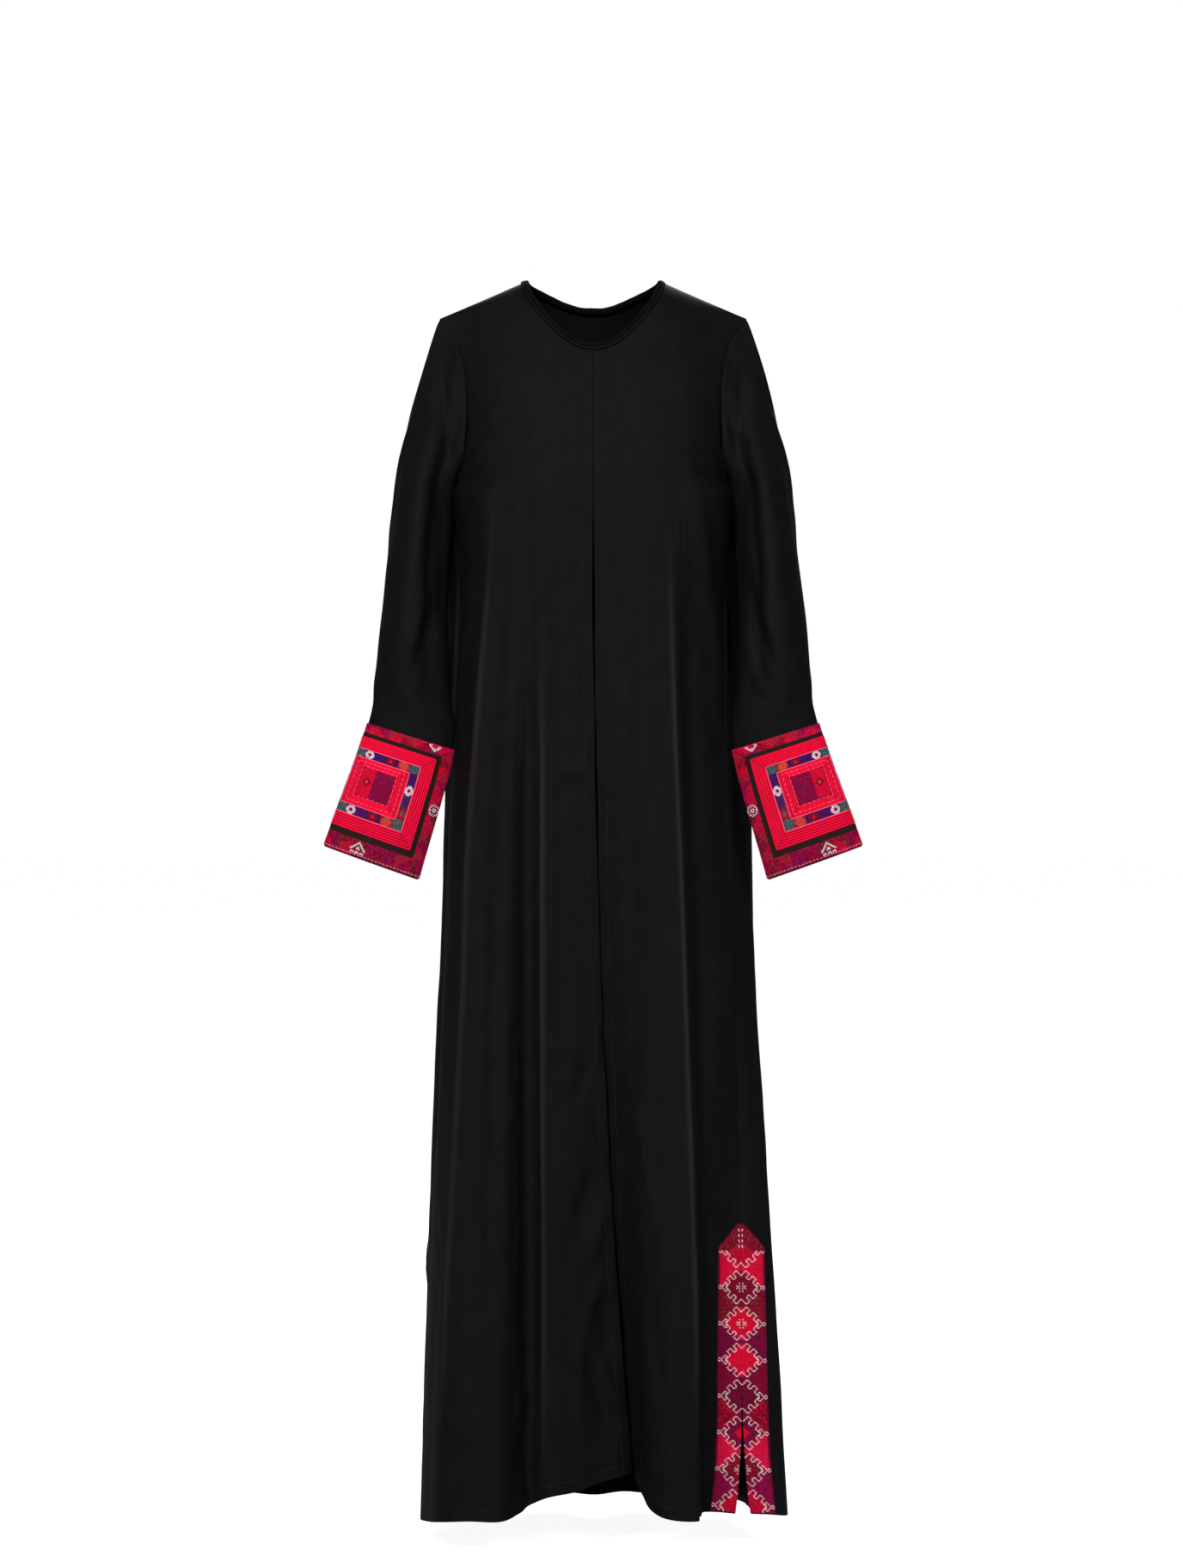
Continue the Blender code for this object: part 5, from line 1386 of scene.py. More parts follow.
def stitches_on_places():
    tree, entry, leave = new_tree("stitches_on_places", STITCH_INPUTS)
    spots = tree.nodes.new("GeometryNodeMeshToPoints")
    wire(tree, (entry, "Geometry", spots, "Mesh"))
    along, size = named_value(tree, "along", "FLOAT_VECTOR"), named_value(tree, "size", "FLOAT")
    place_stitches(tree, entry, leave, spots.outputs["Points"], along, size)
    return tree


def stitches_along_lines():
    tree, entry, leave = new_tree("stitches_along_lines", LINE_INPUTS)
    lines = tree.nodes.new("GeometryNodeMeshToCurve")
    steps = add_node(tree, "GeometryNodeResampleCurve", mode="LENGTH")
    wire(
        tree,
        (entry, "Geometry", lines, "Mesh"),
        (lines, "Curve", steps, "Curve"),
        (entry, "Spacing", steps, "Length"),
    )
    along = tree.nodes.new("GeometryNodeInputTangent").outputs[0]
    place_stitches(tree, entry, leave, steps.outputs["Curve"], along)
    return tree


def cords_along_lines():
    tree, entry, leave = new_tree("cords_along_lines", CORD_INPUTS)
    lines = tree.nodes.new("GeometryNodeMeshToCurve")
    run = tree.nodes.new("GeometryNodeSplineParameter")
    keep = add_node(tree, "GeometryNodeStoreNamedAttribute", {"Name": "run"})
    round_form = tree.nodes.new("GeometryNodeCurvePrimitiveCircle")
    tube = add_node(tree, "GeometryNodeCurveToMesh", {"Fill Caps": True})
    thread = tree.nodes.new("GeometryNodeSetMaterial")
    wire(
        tree,
        (entry, "Geometry", lines, "Mesh"),
        (lines, "Curve", keep, "Geometry"),
        (run, "Length", keep, "Value"),
        (entry, "Sides", round_form, "Resolution"),
        (entry, "Radius", round_form, "Radius"),
        (keep, "Geometry", tube, "Curve"),
        (round_form, "Curve", tube, "Profile Curve"),
        (tube, "Mesh", thread, "Geometry"),
        (entry, "Thread", thread, "Material"),
        (thread, "Geometry", leave, "Geometry"),
    )
    return tree


ON_PLACES, ALONG_LINES, CORDS = stitches_on_places(), stitches_along_lines(), cords_along_lines()
print("trees:", ON_PLACES.name, ALONG_LINES.name, CORDS.name)

# %% [markdown]
# ## Sewing
#
# A tree works on a holder: a mesh of bare places, or of lines made of edges. Its inputs are set by their
# identifiers, and the result is then turned into a plain mesh, so that nothing live is left on the piece.
# Each kind of sewing below is one call.

# %% Sewing helpers


def holder_mesh(name, points, edges, values):
    """A mesh of places or lines, with an attribute for each value, at the model's zero."""
    mesh = bpy.data.meshes.new(name)
    mesh.from_pydata((points - (0.0, 0.0, SHOULDER_HEIGHT)).tolist(), edges, [])
    for label, numbers in values.items():
        kind = {1: "FLOAT", 2: "FLOAT_VECTOR" if numbers.shape[-1] == 3 else "FLOAT_COLOR"}[numbers.ndim]
        field = {"FLOAT": "value", "FLOAT_VECTOR": "vector", "FLOAT_COLOR": "color"}[kind]
        mesh.attributes.new(label, kind, "POINT").data.foreach_set(field, numbers.astype(np.float32).ravel())
    return put_in_scene(name, mesh)


def run_tree(holder, tree, values):
    """Runs a tree on a holder, and leaves the result as the holder's own plain mesh."""
    nodes = holder.modifiers.new("sewing", "NODES")
    nodes.node_group = tree
    for item in tree.interface.items_tree:
        if item.item_type == "SOCKET" and item.in_out == "INPUT" and item.name in values:
            nodes[item.identifier] = values[item.name]
    bpy.context.view_layer.update()
    graph = bpy.context.evaluated_depsgraph_get()
    sewn = holder.evaluated_get(graph)
    made = bpy.data.meshes.new_from_object(sewn, preserve_all_data_layers=True, depsgraph=graph)
    bare = holder.data
    holder.modifiers.clear()
    holder.data = made
    bpy.data.meshes.remove(bare)
    smooth(made)
    return holder


def sew_places(name, form, points, outs, alongs, sizes, threads, material, seed):
    values = {"outward": outs, "along": alongs, "size": sizes, "thread": threads}
    holder = holder_mesh(name, points, [], values)
    return run_tree(holder, ON_PLACES, {"Stitch": form, "Thread": material, "Seed": seed})


def joined_lines(lines):
    """The points, edges and directions of several lines, given as points, directions and closed or not."""
    points = np.concatenate([line[0] for line in lines])
    outs = np.concatenate([line[1] for line in lines])
    edges, first = [], 0
    for spots, _, closed in lines:
        last = len(spots)
        edges += [(first + n, first + n + 1) for n in range(last - 1)]
        edges += [(first + last - 1, first)] if closed else []
        first += last
    return points, edges, outs


def sew_lines(name, form, lines, spacing, material, seed):
    points, edges, outs = joined_lines(lines)
    holder = holder_mesh(name, points, edges, {"outward": outs})
    values = {"Stitch": form, "Thread": material, "Spacing": spacing, "Seed": seed}
    return run_tree(holder, ALONG_LINES, values)


def lay_cords(name, lines, radius, material, sides=6):
    points, edges, outs = joined_lines(lines)
    holder = holder_mesh(name, points, edges, {"outward": outs})
    return run_tree(holder, CORDS, {"Radius": radius, "Sides": sides, "Thread": material})


def settle(piece, slot, *nodes):
    """Says what a finished piece rides on, and the solids that it stands for; its material slot is not used.
    """
    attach(piece, "root")
    for node in nodes:
        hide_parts(node)
    print(piece.name, sum(len(face.vertices) - 2 for face in piece.data.polygons), "triangles")
    return piece


# %% [markdown]
# ## Topstitching
#
# Both front edges and the hem are turned under and held by a row of running stitches, 13 mm from the
# front edges and 15 mm above the hem. A bump in the shader already presses the line. The stitches
# themselves are real thread, coloured a grey far lighter than the cloth: painted sheen along the sewn line.

# %% Topstitching
TOPSTITCH_SPACING = 0.0038


def read_grid(grid, rows, columns, row, column):
    """Points of a grid, or of its normals, at places between its rows and columns."""
    r = np.interp(row, rows, np.arange(len(rows)))
    c = np.interp(column, columns, np.arange(len(columns)))
    near_r, near_c = np.minimum(r.astype(int), len(rows) - 2), np.minimum(c.astype(int), len(columns) - 2)
    v, u = (r - near_r)[..., None], (c - near_c)[..., None]
    upper = grid[near_r, near_c] * (1 - u) + grid[near_r, near_c + 1] * u
    lower = grid[near_r + 1, near_c] * (1 - u) + grid[near_r + 1, near_c + 1] * u
    return upper * (1 - v) + lower * v


def line_at_distance(grid, normals, distances, wanted):
    """The line over a grid where the distance along each row, counted from one edge, has a given value."""
    if distances[0, 0] > distances[0, -1]:
        grid, normals, distances = grid[:, ::-1], normals[:, ::-1], distances[:, ::-1]
    columns = np.array([np.interp(wanted, row, np.arange(len(row))) for row in distances])
    rows, every_column = np.arange(len(grid), dtype=float), np.arange(grid.shape[1], dtype=float)
    points = read_grid(grid, rows, every_column, rows, columns)
    return points, unit(read_grid(normals, rows, every_column, rows, columns))


normals_of = {name: outward(grid, name.startswith("sleeve")) for name, grid in cloth.items()}
for name in ("front_left", "front_right", "back"):
    grid, normals, edges = cloth[name], normals_of[name], cloth_edges[name]
    lines = []
    if name != "back":
        points, outs = line_at_distance(grid, normals, edges["from_edge"], FRONT_STITCH_LINE)
        lines.append((points[:-3], outs[:-3], False))
    turned = np.transpose(grid, (1, 0, 2)), np.transpose(normals, (1, 0, 2)), edges["from_hem"].T
    points, outs = line_at_distance(*turned, HEM_STITCH_LINE)
    lines.append((points[2:-2], outs[2:-2], False))
    stitches = sew_lines(name + "_topstitch", RUNNING, lines, TOPSTITCH_SPACING, BLACK_THREAD, len(name))
    settle(stitches, "black_cloth")

# %% [markdown]
# ## Neck binding
#
# A narrow strip of the same crepe is folded over the raw edge of the neck, half outside and half inside.
# It is drawn as nine lines round that fold, each a set distance from the edge of the cloth, so it follows
# the neckline wherever that goes. The line furthest out is dropped onto the nearest place of the cloth.

# %% Neck binding
BINDING_WIDTH, BINDING_RISE, BINDING_EDGE = 0.008, 0.0021, 0.0017
BINDING_THICKNESS, BINDING_SPACING = 0.0006, 0.0034
CLOTH_WALL = 0.0012
ABOVE_RAW_EDGE, FOLD_RISE, ON_CLOTH = 0.0009, 0.0010, 0.0009
STITCH_SHARE = 0.30
PUCKER, PUCKER_LENGTH, PUCKER_SEED = 0.00022, 0.007, 31


def cloth_tree(grids):
    """The outside of the panels, for finding the nearest place on them."""
    points, faces, first = [], [], 0
    for grid in grids:
        rows, columns = grid.shape[:2]
        points += [Vector(point) for point in grid.reshape(-1, 3).tolist()]
        faces += (grid_faces(rows, columns, False) + first).tolist()
        first += rows * columns
    return BVHTree.FromPolygons(points, faces)


def neck_columns():
    """The points and directions of the neckline, from the left front edge round to the right one."""
    left, middle, right = (PANEL_PLACES[name] for name in ("front_left", "back", "front_right"))
    corners = mirrored_places(NECK_TURN)
    chosen = (
        ("front_left", left <= corners[0] + 1e-6),
        ("back", (middle > corners[1] + 1e-6) & (middle < corners[2] - 1e-6)),
        ("front_right", right >= corners[3] - 1e-6),
    )
    points = np.concatenate([cloth[name][0][mask] for name, mask in chosen])
    return points, unit(np.concatenate([normals_of[name][0][mask] for name, mask in chosen]))


neck_points, neck_normals = neck_columns()
neck_along = unit(np.cross(neck_normals, unit(np.gradient(neck_points, axis=0))))
neck_along *= -np.sign(neck_along[0, 2])
surface = cloth_tree([cloth[name][:30] for name in ("front_left", "back", "front_right")])
aimed = neck_points + neck_along * BINDING_WIDTH
nearest = [surface.find_nearest(Vector(spot))[:2] for spot in aimed.tolist()]
far = np.array([place for place, _ in nearest])
far_out = np.array([direction for _, direction in nearest])
halfway, halfway_out = (far + neck_points) / 2, unit(far_out + neck_normals)
crown = neck_points - neck_along * ABOVE_RAW_EDGE
lining = crown - neck_normals * CLOTH_WALL
binding_rows = [
    far + far_out * ON_CLOTH,
    far + far_out * BINDING_RISE - (far - neck_points) * 0.06,
    halfway + halfway_out * (BINDING_RISE + 0.0001),
    crown + neck_normals * BINDING_EDGE,
    crown - neck_along * FOLD_RISE + neck_normals * 0.0006,
    lining - neck_along * FOLD_RISE - neck_normals * 0.0002,
    lining - neck_normals * 0.0014,
    halfway - halfway_out * (CLOTH_WALL + BINDING_RISE),
    far - far_out * (CLOTH_WALL + 0.0012),
]
binding_grid = np.array(binding_rows)[::-1]
run = run_along(binding_grid, 1)
row_numbers = np.arange(float(len(binding_rows)))[:, None] + 0 * run
pucker = PUCKER * unevenness(run, row_numbers, PUCKER_LENGTH, 2.0, PUCKER_SEED)
binding_grid = binding_grid + outward(binding_grid) * pucker[..., None]
binding = grid_mesh("neck_binding", binding_grid, run, False, far_from_edges(binding_grid))
binding.data.materials.append(BINDING)
thicken(binding, BINDING_THICKNESS)
settle(binding, "neck_binding", "neck_band")
edge_line = halfway + (far - neck_points) * STITCH_SHARE + halfway_out * (BINDING_RISE + 0.0001)
edge_lines = [(edge_line[1:-1], far_out[1:-1], False)]
binding_stitches = sew_lines("neck_topstitch", RUNNING, edge_lines, BINDING_SPACING, BLACK_THREAD, 4)
settle(binding_stitches, "neck_binding")

# %% [markdown]
# ## The embroidered cuffs: where things lie
#
# Each cuff is one panel wrapped over the front of the sleeve end and sewn down. Two distances place
# anything on it: the arc round the cuff from the panel's inner edge, and how far down it is from the
# panel's top. From the outside in there are a cross-stitched border, a dark braid, and a raised middle
# of red couched rows round a band of flowers.

# %% Places on a cuff
STITCH_GROUND, MIDDLE_GROUND = 0.0014, 0.0019
MIDDLE_ARC, MIDDLE_DOWN = CUFF_SIDE_BORDER + CUFF_BRAID, CUFF_TOP_BORDER + CUFF_BRAID
MIDDLE_BOX = (MIDDLE_ARC, MIDDLE_DOWN, MIDDLE_ARC + CUFF_MIDDLE_WIDTH, MIDDLE_DOWN + CUFF_MIDDLE_HEIGHT)
BRAID_FAR_ARC, BRAID_FAR_DOWN = CUFF_WIDTH - CUFF_SIDE_BORDER, CUFF_LENGTH - CUFF_BOTTOM_BORDER
BRAID_BOX = (CUFF_SIDE_BORDER, CUFF_TOP_BORDER, BRAID_FAR_ARC, BRAID_FAR_DOWN)
WRAPPED_COLUMNS = np.append(SLEEVE_COLUMNS, TURNS_ROUND)
SHORT_STEP, RING_STEP = 0.0008, 0.0025


def left_handed(grid, side):
    """A sleeve's grid as if it were the left one, with its first column again at the end."""
    if side == "right":
        grid = mirrored(grid)
    return np.concatenate([grid, grid[:, :1]], axis=1)


cuff_cloth = {side: left_handed(cloth["sleeve_" + side], side) for side in ("left", "right")}
cuff_outs = {side: left_handed(normals_of["sleeve_" + side], side) for side in ("left", "right")}


def cuff_place(side, arc, down, lift):
    """Points over a cuff, the directions out of it, and the directions round it."""
    arc, down = np.broadcast_arrays(np.asarray(arc, float), np.asarray(down, float))
    spots = []
    for step in (0.0, SHORT_STEP):
        column = np.interp(arc + step, ARC_KNOTS, COLUMN_KNOTS)
        row = cuff_row(down)
        point = read_grid(cuff_cloth[side], SLEEVE_ROWS, WRAPPED_COLUMNS, row, column)
        out = unit(read_grid(cuff_outs[side], SLEEVE_ROWS, WRAPPED_COLUMNS, row, column))
        spots.append(point + out * np.asarray(lift)[..., None])
    flip = MIRROR if side == "right" else np.ones(3)
    return spots[0] * flip, out * flip, unit(spots[1] - spots[0]) * flip


def cuff_ring(side, box, lift):
    """A closed line round a box of the panel: low arc, low down, high arc, high down."""
    low_arc, low_down, high_arc, high_down = box
    corners = ((low_arc, low_down), (high_arc, low_down), (high_arc, high_down), (low_arc, high_down))
    spots = []
    for (a, d), (b, e) in zip(corners, corners[1:] + corners[:1]):
        t = np.arange(max(2, round((abs(b - a) + abs(e - d)) / RING_STEP)))
        t = t / len(t)
        spots.append(np.stack([a + (b - a) * t, d + (e - d) * t], axis=-1))
    spots = np.concatenate(spots)
    points, outs, _ = cuff_place(side, spots[:, 0], spots[:, 1], lift)
    return points, outs, True


def shrunk(box, by_arc, by_down):
    return (box[0] + by_arc, box[1] + by_down, box[2] - by_arc, box[3] - by_down)


def inside(box, arc, down):
    return (arc > box[0]) & (arc < box[2]) & (down > box[1]) & (down < box[3])


print("middle of the cuff panel", MIDDLE_BOX)

# %% [markdown]
# ## Charts for the cross stitch
#
# Counted embroidery is worked from charts, so colours are chosen cell by cell. The border is a row of
# triangles, point to point, each in one red or purple with flecks of another. The flowers are six-sided
# rings. Small motifs are written out as rows of letters, in the way that a pattern book prints them.

# %% Charts
BORDER_TRIANGLES = (
    ("crimson", "bright red"),
    ("maroon", "brown rose"),
    ("crimson", "rose"),
    ("purple", "crimson"),
    ("crimson", "brown rose"),
    ("maroon", "crimson"),
    ("magenta", "maroon"),
)
TULIP = (
    "X.X.....X.X",
    "XX.......XX",
    ".XX.....XX.",
    "..XX.X.XX..",
    "...XX.XX...",
    "....XXX....",
    ".....X.....",
)
WREATH = (
    "...X.X...",
    ".XX.X.XX.",
    ".X.....X.",
    "X..XXX..X",
    "XX.X.X.XX",
    "X..XXX..X",
    ".X.....X.",
    ".XX.X.XX.",
    "...X.X...",
)
ARBOUR = (
    "......X......",
    ".....XXX.....",
    "....XX.XX....",
    "...XX...XX...",
    "..XX..X..XX..",
    ".XX..XXX..XX.",
    "XX...X.X...XX",
    ".............",
    ".XXX.XXX.XXX.",
    ".X.X.X.X.X.X.",
)
CORNER = (("leaf", 10),)
LONG_RUN = (
    # kind of motif and how many cells it takes, along the top and the bottom of the band
    ("leaf", 3),
    ("lace", 14),
    ("block", 3),
    ("dark flower", 14),
    ("block", 14),
    ("white flower", 14),
    ("leaf", 10),
)
SHORT_RUN = (
    # the same down its two sides
    ("block", 14),
    ("white flower", 14),
    ("leaf block", 14),
    ("small flower", 12),
    ("leaf", 2),
)
BAND_CELL, BAND_DEPTH = 0.00103, 10
BAND_BOX = (0.0415, 0.0390, 0.1365, 0.1170)
HEART_BOX = (0.0680, 0.0600, 0.1100, 0.0940)


def add_motif(colours, chart, middle_column, middle_row, thread):
    """Writes a motif of letters into a table of thread names."""
    for r, line in enumerate(chart):
        for c, letter in enumerate(line):
            row, column = middle_row - len(chart) // 2 + r, middle_column - len(line) // 2 + c
            if letter == "X" and 0 <= row < colours.shape[0] and 0 <= column < colours.shape[1]:
                colours[row, column] = thread


def flecked(random, main, fleck, share):
    return fleck if random.random() < share else main


def motif_thread(kind, x, y, length, random):
    """The thread of one cell of the flower band: x along the motif, y across the band from its middle."""
    off = abs(x - (length - 1) / 2)
    away = abs(y)
    petal, hole = off / (length / 2) + away / 9.0 < 0.98, off + away < 2.2
    if kind in ("white flower", "dark flower"):
        edge = "navy" if kind == "white flower" else "deep blue"
        petals = ("pale pink", "pink") if kind == "white flower" else ("maroon", "wine")
        heart = "wine" if kind == "white flower" else "rose"
        return heart if hole else flecked(random, *petals, 0.12) if petal else edge
    if kind == "lace":
        return ("orange" if (x + int(y + 5)) % 2 else "bright red") if petal else "crimson"
    if kind == "small flower":
        return "teal" if hole else flecked(random, "crimson", "brown rose", 0.4) if petal else "maroon"
    if kind == "leaf":
        return flecked(random, "teal", "dark teal", 0.35)
    if kind == "leaf block":
        return flecked(random, "navy", "dark teal", 0.35 if off < 4 else 0.8)
    return flecked(random, "navy", "deep blue", 0.3)


def run_of_motifs(runs, random):
    """The threads of one stretch of the flower band, as a table of cells: along it, and across it."""
    rows = []
    middle = (BAND_DEPTH - 1) / 2
    for kind, length in runs:
        for x in range(length):
            rows.append([motif_thread(kind, x, y - middle, length, random) for y in range(BAND_DEPTH)])
    return rows


print("charts ready")

# %% [markdown]
# ## The cuff's cells
#
# Each chart is read into a list of cells: where it lies on the panel, its thread, its size, and how high
# the ground is there. The border has larger cells than the band and the small box in the middle.

# %% The cuff's cells
CUFF_CELL, HEART_CELL = 0.00155, 0.0011
TRIANGLE_CELLS, BORDER_FLECKS = 12, 0.36
BAND_COLUMNS, BAND_ROWS = 92, 76
HEART_COLUMNS, HEART_ROWS = 38, 31
HEART_FLOWER = (29.5, 14.5)


def border_cells(random):
    """Places and threads of the border, as arrays of arc, down and names."""
    columns, rows = round(CUFF_WIDTH / CUFF_CELL), round(CUFF_LENGTH / CUFF_CELL)
    colours = np.full((rows, columns), "", dtype=object)
    for j in range(rows):
        for i in range(columns):
            arc, down = (i + 0.5) * CUFF_WIDTH / columns, (j + 0.5) * CUFF_LENGTH / rows
            if inside(BRAID_BOX, arc, down):
                continue
            shares = (
                down / CUFF_TOP_BORDER,
                (CUFF_LENGTH - down) / CUFF_BOTTOM_BORDER,
                arc / CUFF_SIDE_BORDER,
                (CUFF_WIDTH - arc) / CUFF_SIDE_BORDER,
            )
            edge = int(np.argmin(shares))
            run_cell = i if edge < 2 else j + 5
            step, phase = divmod(run_cell, TRIANGLE_CELLS)
            rise = phase / TRIANGLE_CELLS if step % 2 == 0 else 1 - phase / TRIANGLE_CELLS
            pointed = shares[edge] < rise
            number = (step + 1) // 2 * 2 + edge if pointed else step // 2 * 2 + 3 + edge
            pair = BORDER_TRIANGLES[number % len(BORDER_TRIANGLES)]
            colours[j, i] = flecked(random, *pair, BORDER_FLECKS)
            if edge == 1 and 0.05 < shares[1] < 0.13 and i % 3 > 0:
                colours[j, i] = "pink"
    add_motif(colours, TULIP, round(0.028 / CUFF_CELL), 4, "pale pink")
    add_motif(colours, WREATH, 5, round(0.082 / CUFF_CELL), "pale pink")
    add_motif(colours, ARBOUR, round(0.083 / CUFF_CELL), rows - 7, "pale pink")
    place = [(i, j) for j in range(rows) for i in range(columns) if colours[j, i]]
    arcs = np.array([(i + 0.5) * CUFF_WIDTH / columns for i, _ in place])
    downs = np.array([(j + 0.5) * CUFF_LENGTH / rows for _, j in place])
    return arcs, downs, [colours[j, i] for i, j in place], CUFF_CELL, STITCH_GROUND


def box_cells(box, columns, rows):
    """The numbers of a box's cells, and the arcs and downs of their middles, row by row."""
    numbers = [(i, j) for j in range(rows) for i in range(columns)]
    arcs = [box[0] + (i + 0.5) * (box[2] - box[0]) / columns for i, _ in numbers]
    downs = [box[1] + (j + 0.5) * (box[3] - box[1]) / rows for _, j in numbers]
    return numbers, arcs, downs


def band_cells(random):
    """Places and threads of the flower band."""
    long_run, short_run = (run_of_motifs(CORNER + run + CORNER, random) for run in (LONG_RUN, SHORT_RUN))
    places, names = [], []
    for (i, j), arc, down in zip(*box_cells(BAND_BOX, BAND_COLUMNS, BAND_ROWS)):
        across, below = min(i, BAND_COLUMNS - 1 - i), min(j, BAND_ROWS - 1 - j)
        if across >= BAND_DEPTH and below >= BAND_DEPTH:
            continue
        places.append((arc, down))
        if below < BAND_DEPTH:
            names.append(long_run[min(i, len(long_run) - 1)][below])
        else:
            names.append(short_run[min(j, len(short_run) - 1)][across])
    places = np.array(places)
    return places[:, 0], places[:, 1], names, BAND_CELL, MIDDLE_GROUND


def heart_thread(i, j, random):
    """The thread of one cell of the middle box: flecked purple, or a red square with a small flower."""
    if i < 22 + (j % 6 > 2):
        zigzag = (j + abs(i % 8 - 4)) % 5 == 0
        return "wine" if zigzag else flecked(random, "purple", "magenta", 0.4)
    ring = abs(i - HEART_FLOWER[0]) + abs(j - HEART_FLOWER[1])
    return "pink" if ring < 1.6 else "crimson" if ring < 4 else "maroon" if ring < 5.4 else "bright red"


def heart_cells(random):
    """Places and threads of the small box in the middle."""
    numbers, arcs, downs = box_cells(HEART_BOX, HEART_COLUMNS, HEART_ROWS)
    names = [heart_thread(i, j, random) for i, j in numbers]
    return np.array(arcs), np.array(downs), names, HEART_CELL, MIDDLE_GROUND


def thread_colours(names, random):
    """The colours of named threads, each stitch a little lighter or darker than the next."""
    colours = np.array([THREADS[name] for name in names])
    colours[:, :3] *= random.uniform(0.82, 1.14, (len(names), 1))
    return colours


random = np.random.default_rng(71)
CUFF_CELLS = [make(random) for make in (border_cells, band_cells, heart_cells)]
print([len(cells[0]) for cells in CUFF_CELLS], "cross stitches on each cuff")

# %% [markdown]
# ## The cuffs, layer by layer
#
# The ground cloth comes first, with its middle raised by padding. On it lie the couched rows, which are
# round cords that ring the flower band, the braid, made of two rows of slanting stitches that meet like
# an ear of wheat, and last the counted cross stitch.

# %% Cuff ground and stitches
GROUND_THICKNESS = 0.0008
OUTER_ROWS, OUTER_PITCH = 6, (0.0030, 0.00285)
INNER_ROWS, INNER_PITCH = 5, (0.0030, 0.0021)
OUTER_START, INNER_START = (0.0016, 0.0016), (0.0016, 0.0013)
ROW_RADIUS, OUTLINE_RADIUS, OUTLINE_GAP = 0.00120, 0.00042, 0.0004
DASH_SPACING, BRAID_SPACING, BRAID_OFF = 0.0064, 0.00155, 0.00155
# The middle ground is maroon, darker than the red rows on it: its red darkened by painted shade in the
# grooves between the couched rows.
GROUND_COLOURS = (("border_ground", "wine"), ("braid_ground", "braid brown"), ("middle_ground", "maroon"))
GROUNDS = [thread_material(name, THREADS[colour], 0.8, 0.1) for name, colour in GROUND_COLOURS]


def breaks(low, low_middle, high_middle, high, size, steps):
    """Places along one way of the panel, doubled at the braid's edges so that the step there is short."""
    stretches = (
        (0.0, low, steps),
        (low + 0.0004, low_middle, 3),
        (low_middle + 0.0008, high_middle - 0.0008, 34),
        (high_middle, high - 0.0004, 3),
        (high, size, steps),
    )
    return np.concatenate([np.linspace(a, b, n) for a, b, n in stretches])


def cuff_ground(side):
    """The panel's ground cloth, with a material for each of its three zones."""
    arcs = breaks(BRAID_BOX[0], MIDDLE_BOX[0], MIDDLE_BOX[2], BRAID_BOX[2], CUFF_WIDTH, 8)
    downs = breaks(BRAID_BOX[1], MIDDLE_BOX[1], MIDDLE_BOX[3], BRAID_BOX[3], CUFF_LENGTH, 8)
    arc, down = np.meshgrid(arcs, downs)
    middle = inside(shrunk(MIDDLE_BOX, 0.0004, 0.0004), arc, down)
    braid = inside(shrunk(BRAID_BOX, 0.0002, 0.0002), arc, down)
    lift = np.where(middle, MIDDLE_GROUND, STITCH_GROUND)
    points, _, _ = cuff_place(side, arc, down, lift)
    if side == "right":
        points, middle, braid = points[:, ::-1], middle[:, ::-1], braid[:, ::-1]
    piece = grid_mesh("cuff_" + side + "_ground", points, run_along(points, 1))
    for material in GROUNDS:
        piece.data.materials.append(material)
    zone = (middle.astype(int) + braid)[:-1, :-1].ravel()
    piece.data.polygons.foreach_set("material_index", zone)
    return thicken(piece, GROUND_THICKNESS)


def rows_inside(box, start, pitch, count):
    """Boxes for a number of couched rows, each inside the one before."""
    return [shrunk(box, start[0] + pitch[0] * n, start[1] + pitch[1] * n) for n in range(count)]


def cuff_crosses(side):
    """All the cross stitch of one cuff."""
    arcs, downs, sizes, lifts, names = [], [], [], [], []
    for cell_arcs, cell_downs, cell_names, size, lift in CUFF_CELLS:
        arcs.append(cell_arcs)
        downs.append(cell_downs)
        sizes.append(np.full(len(cell_arcs), size))
        lifts.append(np.full(len(cell_arcs), lift))
        names += cell_names
    arcs, downs, sizes, lifts = (np.concatenate(parts) for parts in (arcs, downs, sizes, lifts))
    points, outs, alongs = cuff_place(side, arcs, downs, lifts)
    threads = thread_colours(names, np.random.default_rng(5 if side == "left" else 6))
    label = f"cuff_{side}_cross_stitch"
    return sew_places(label, CROSS, points, outs, alongs, sizes, threads, COLOURED_THREAD, 3)


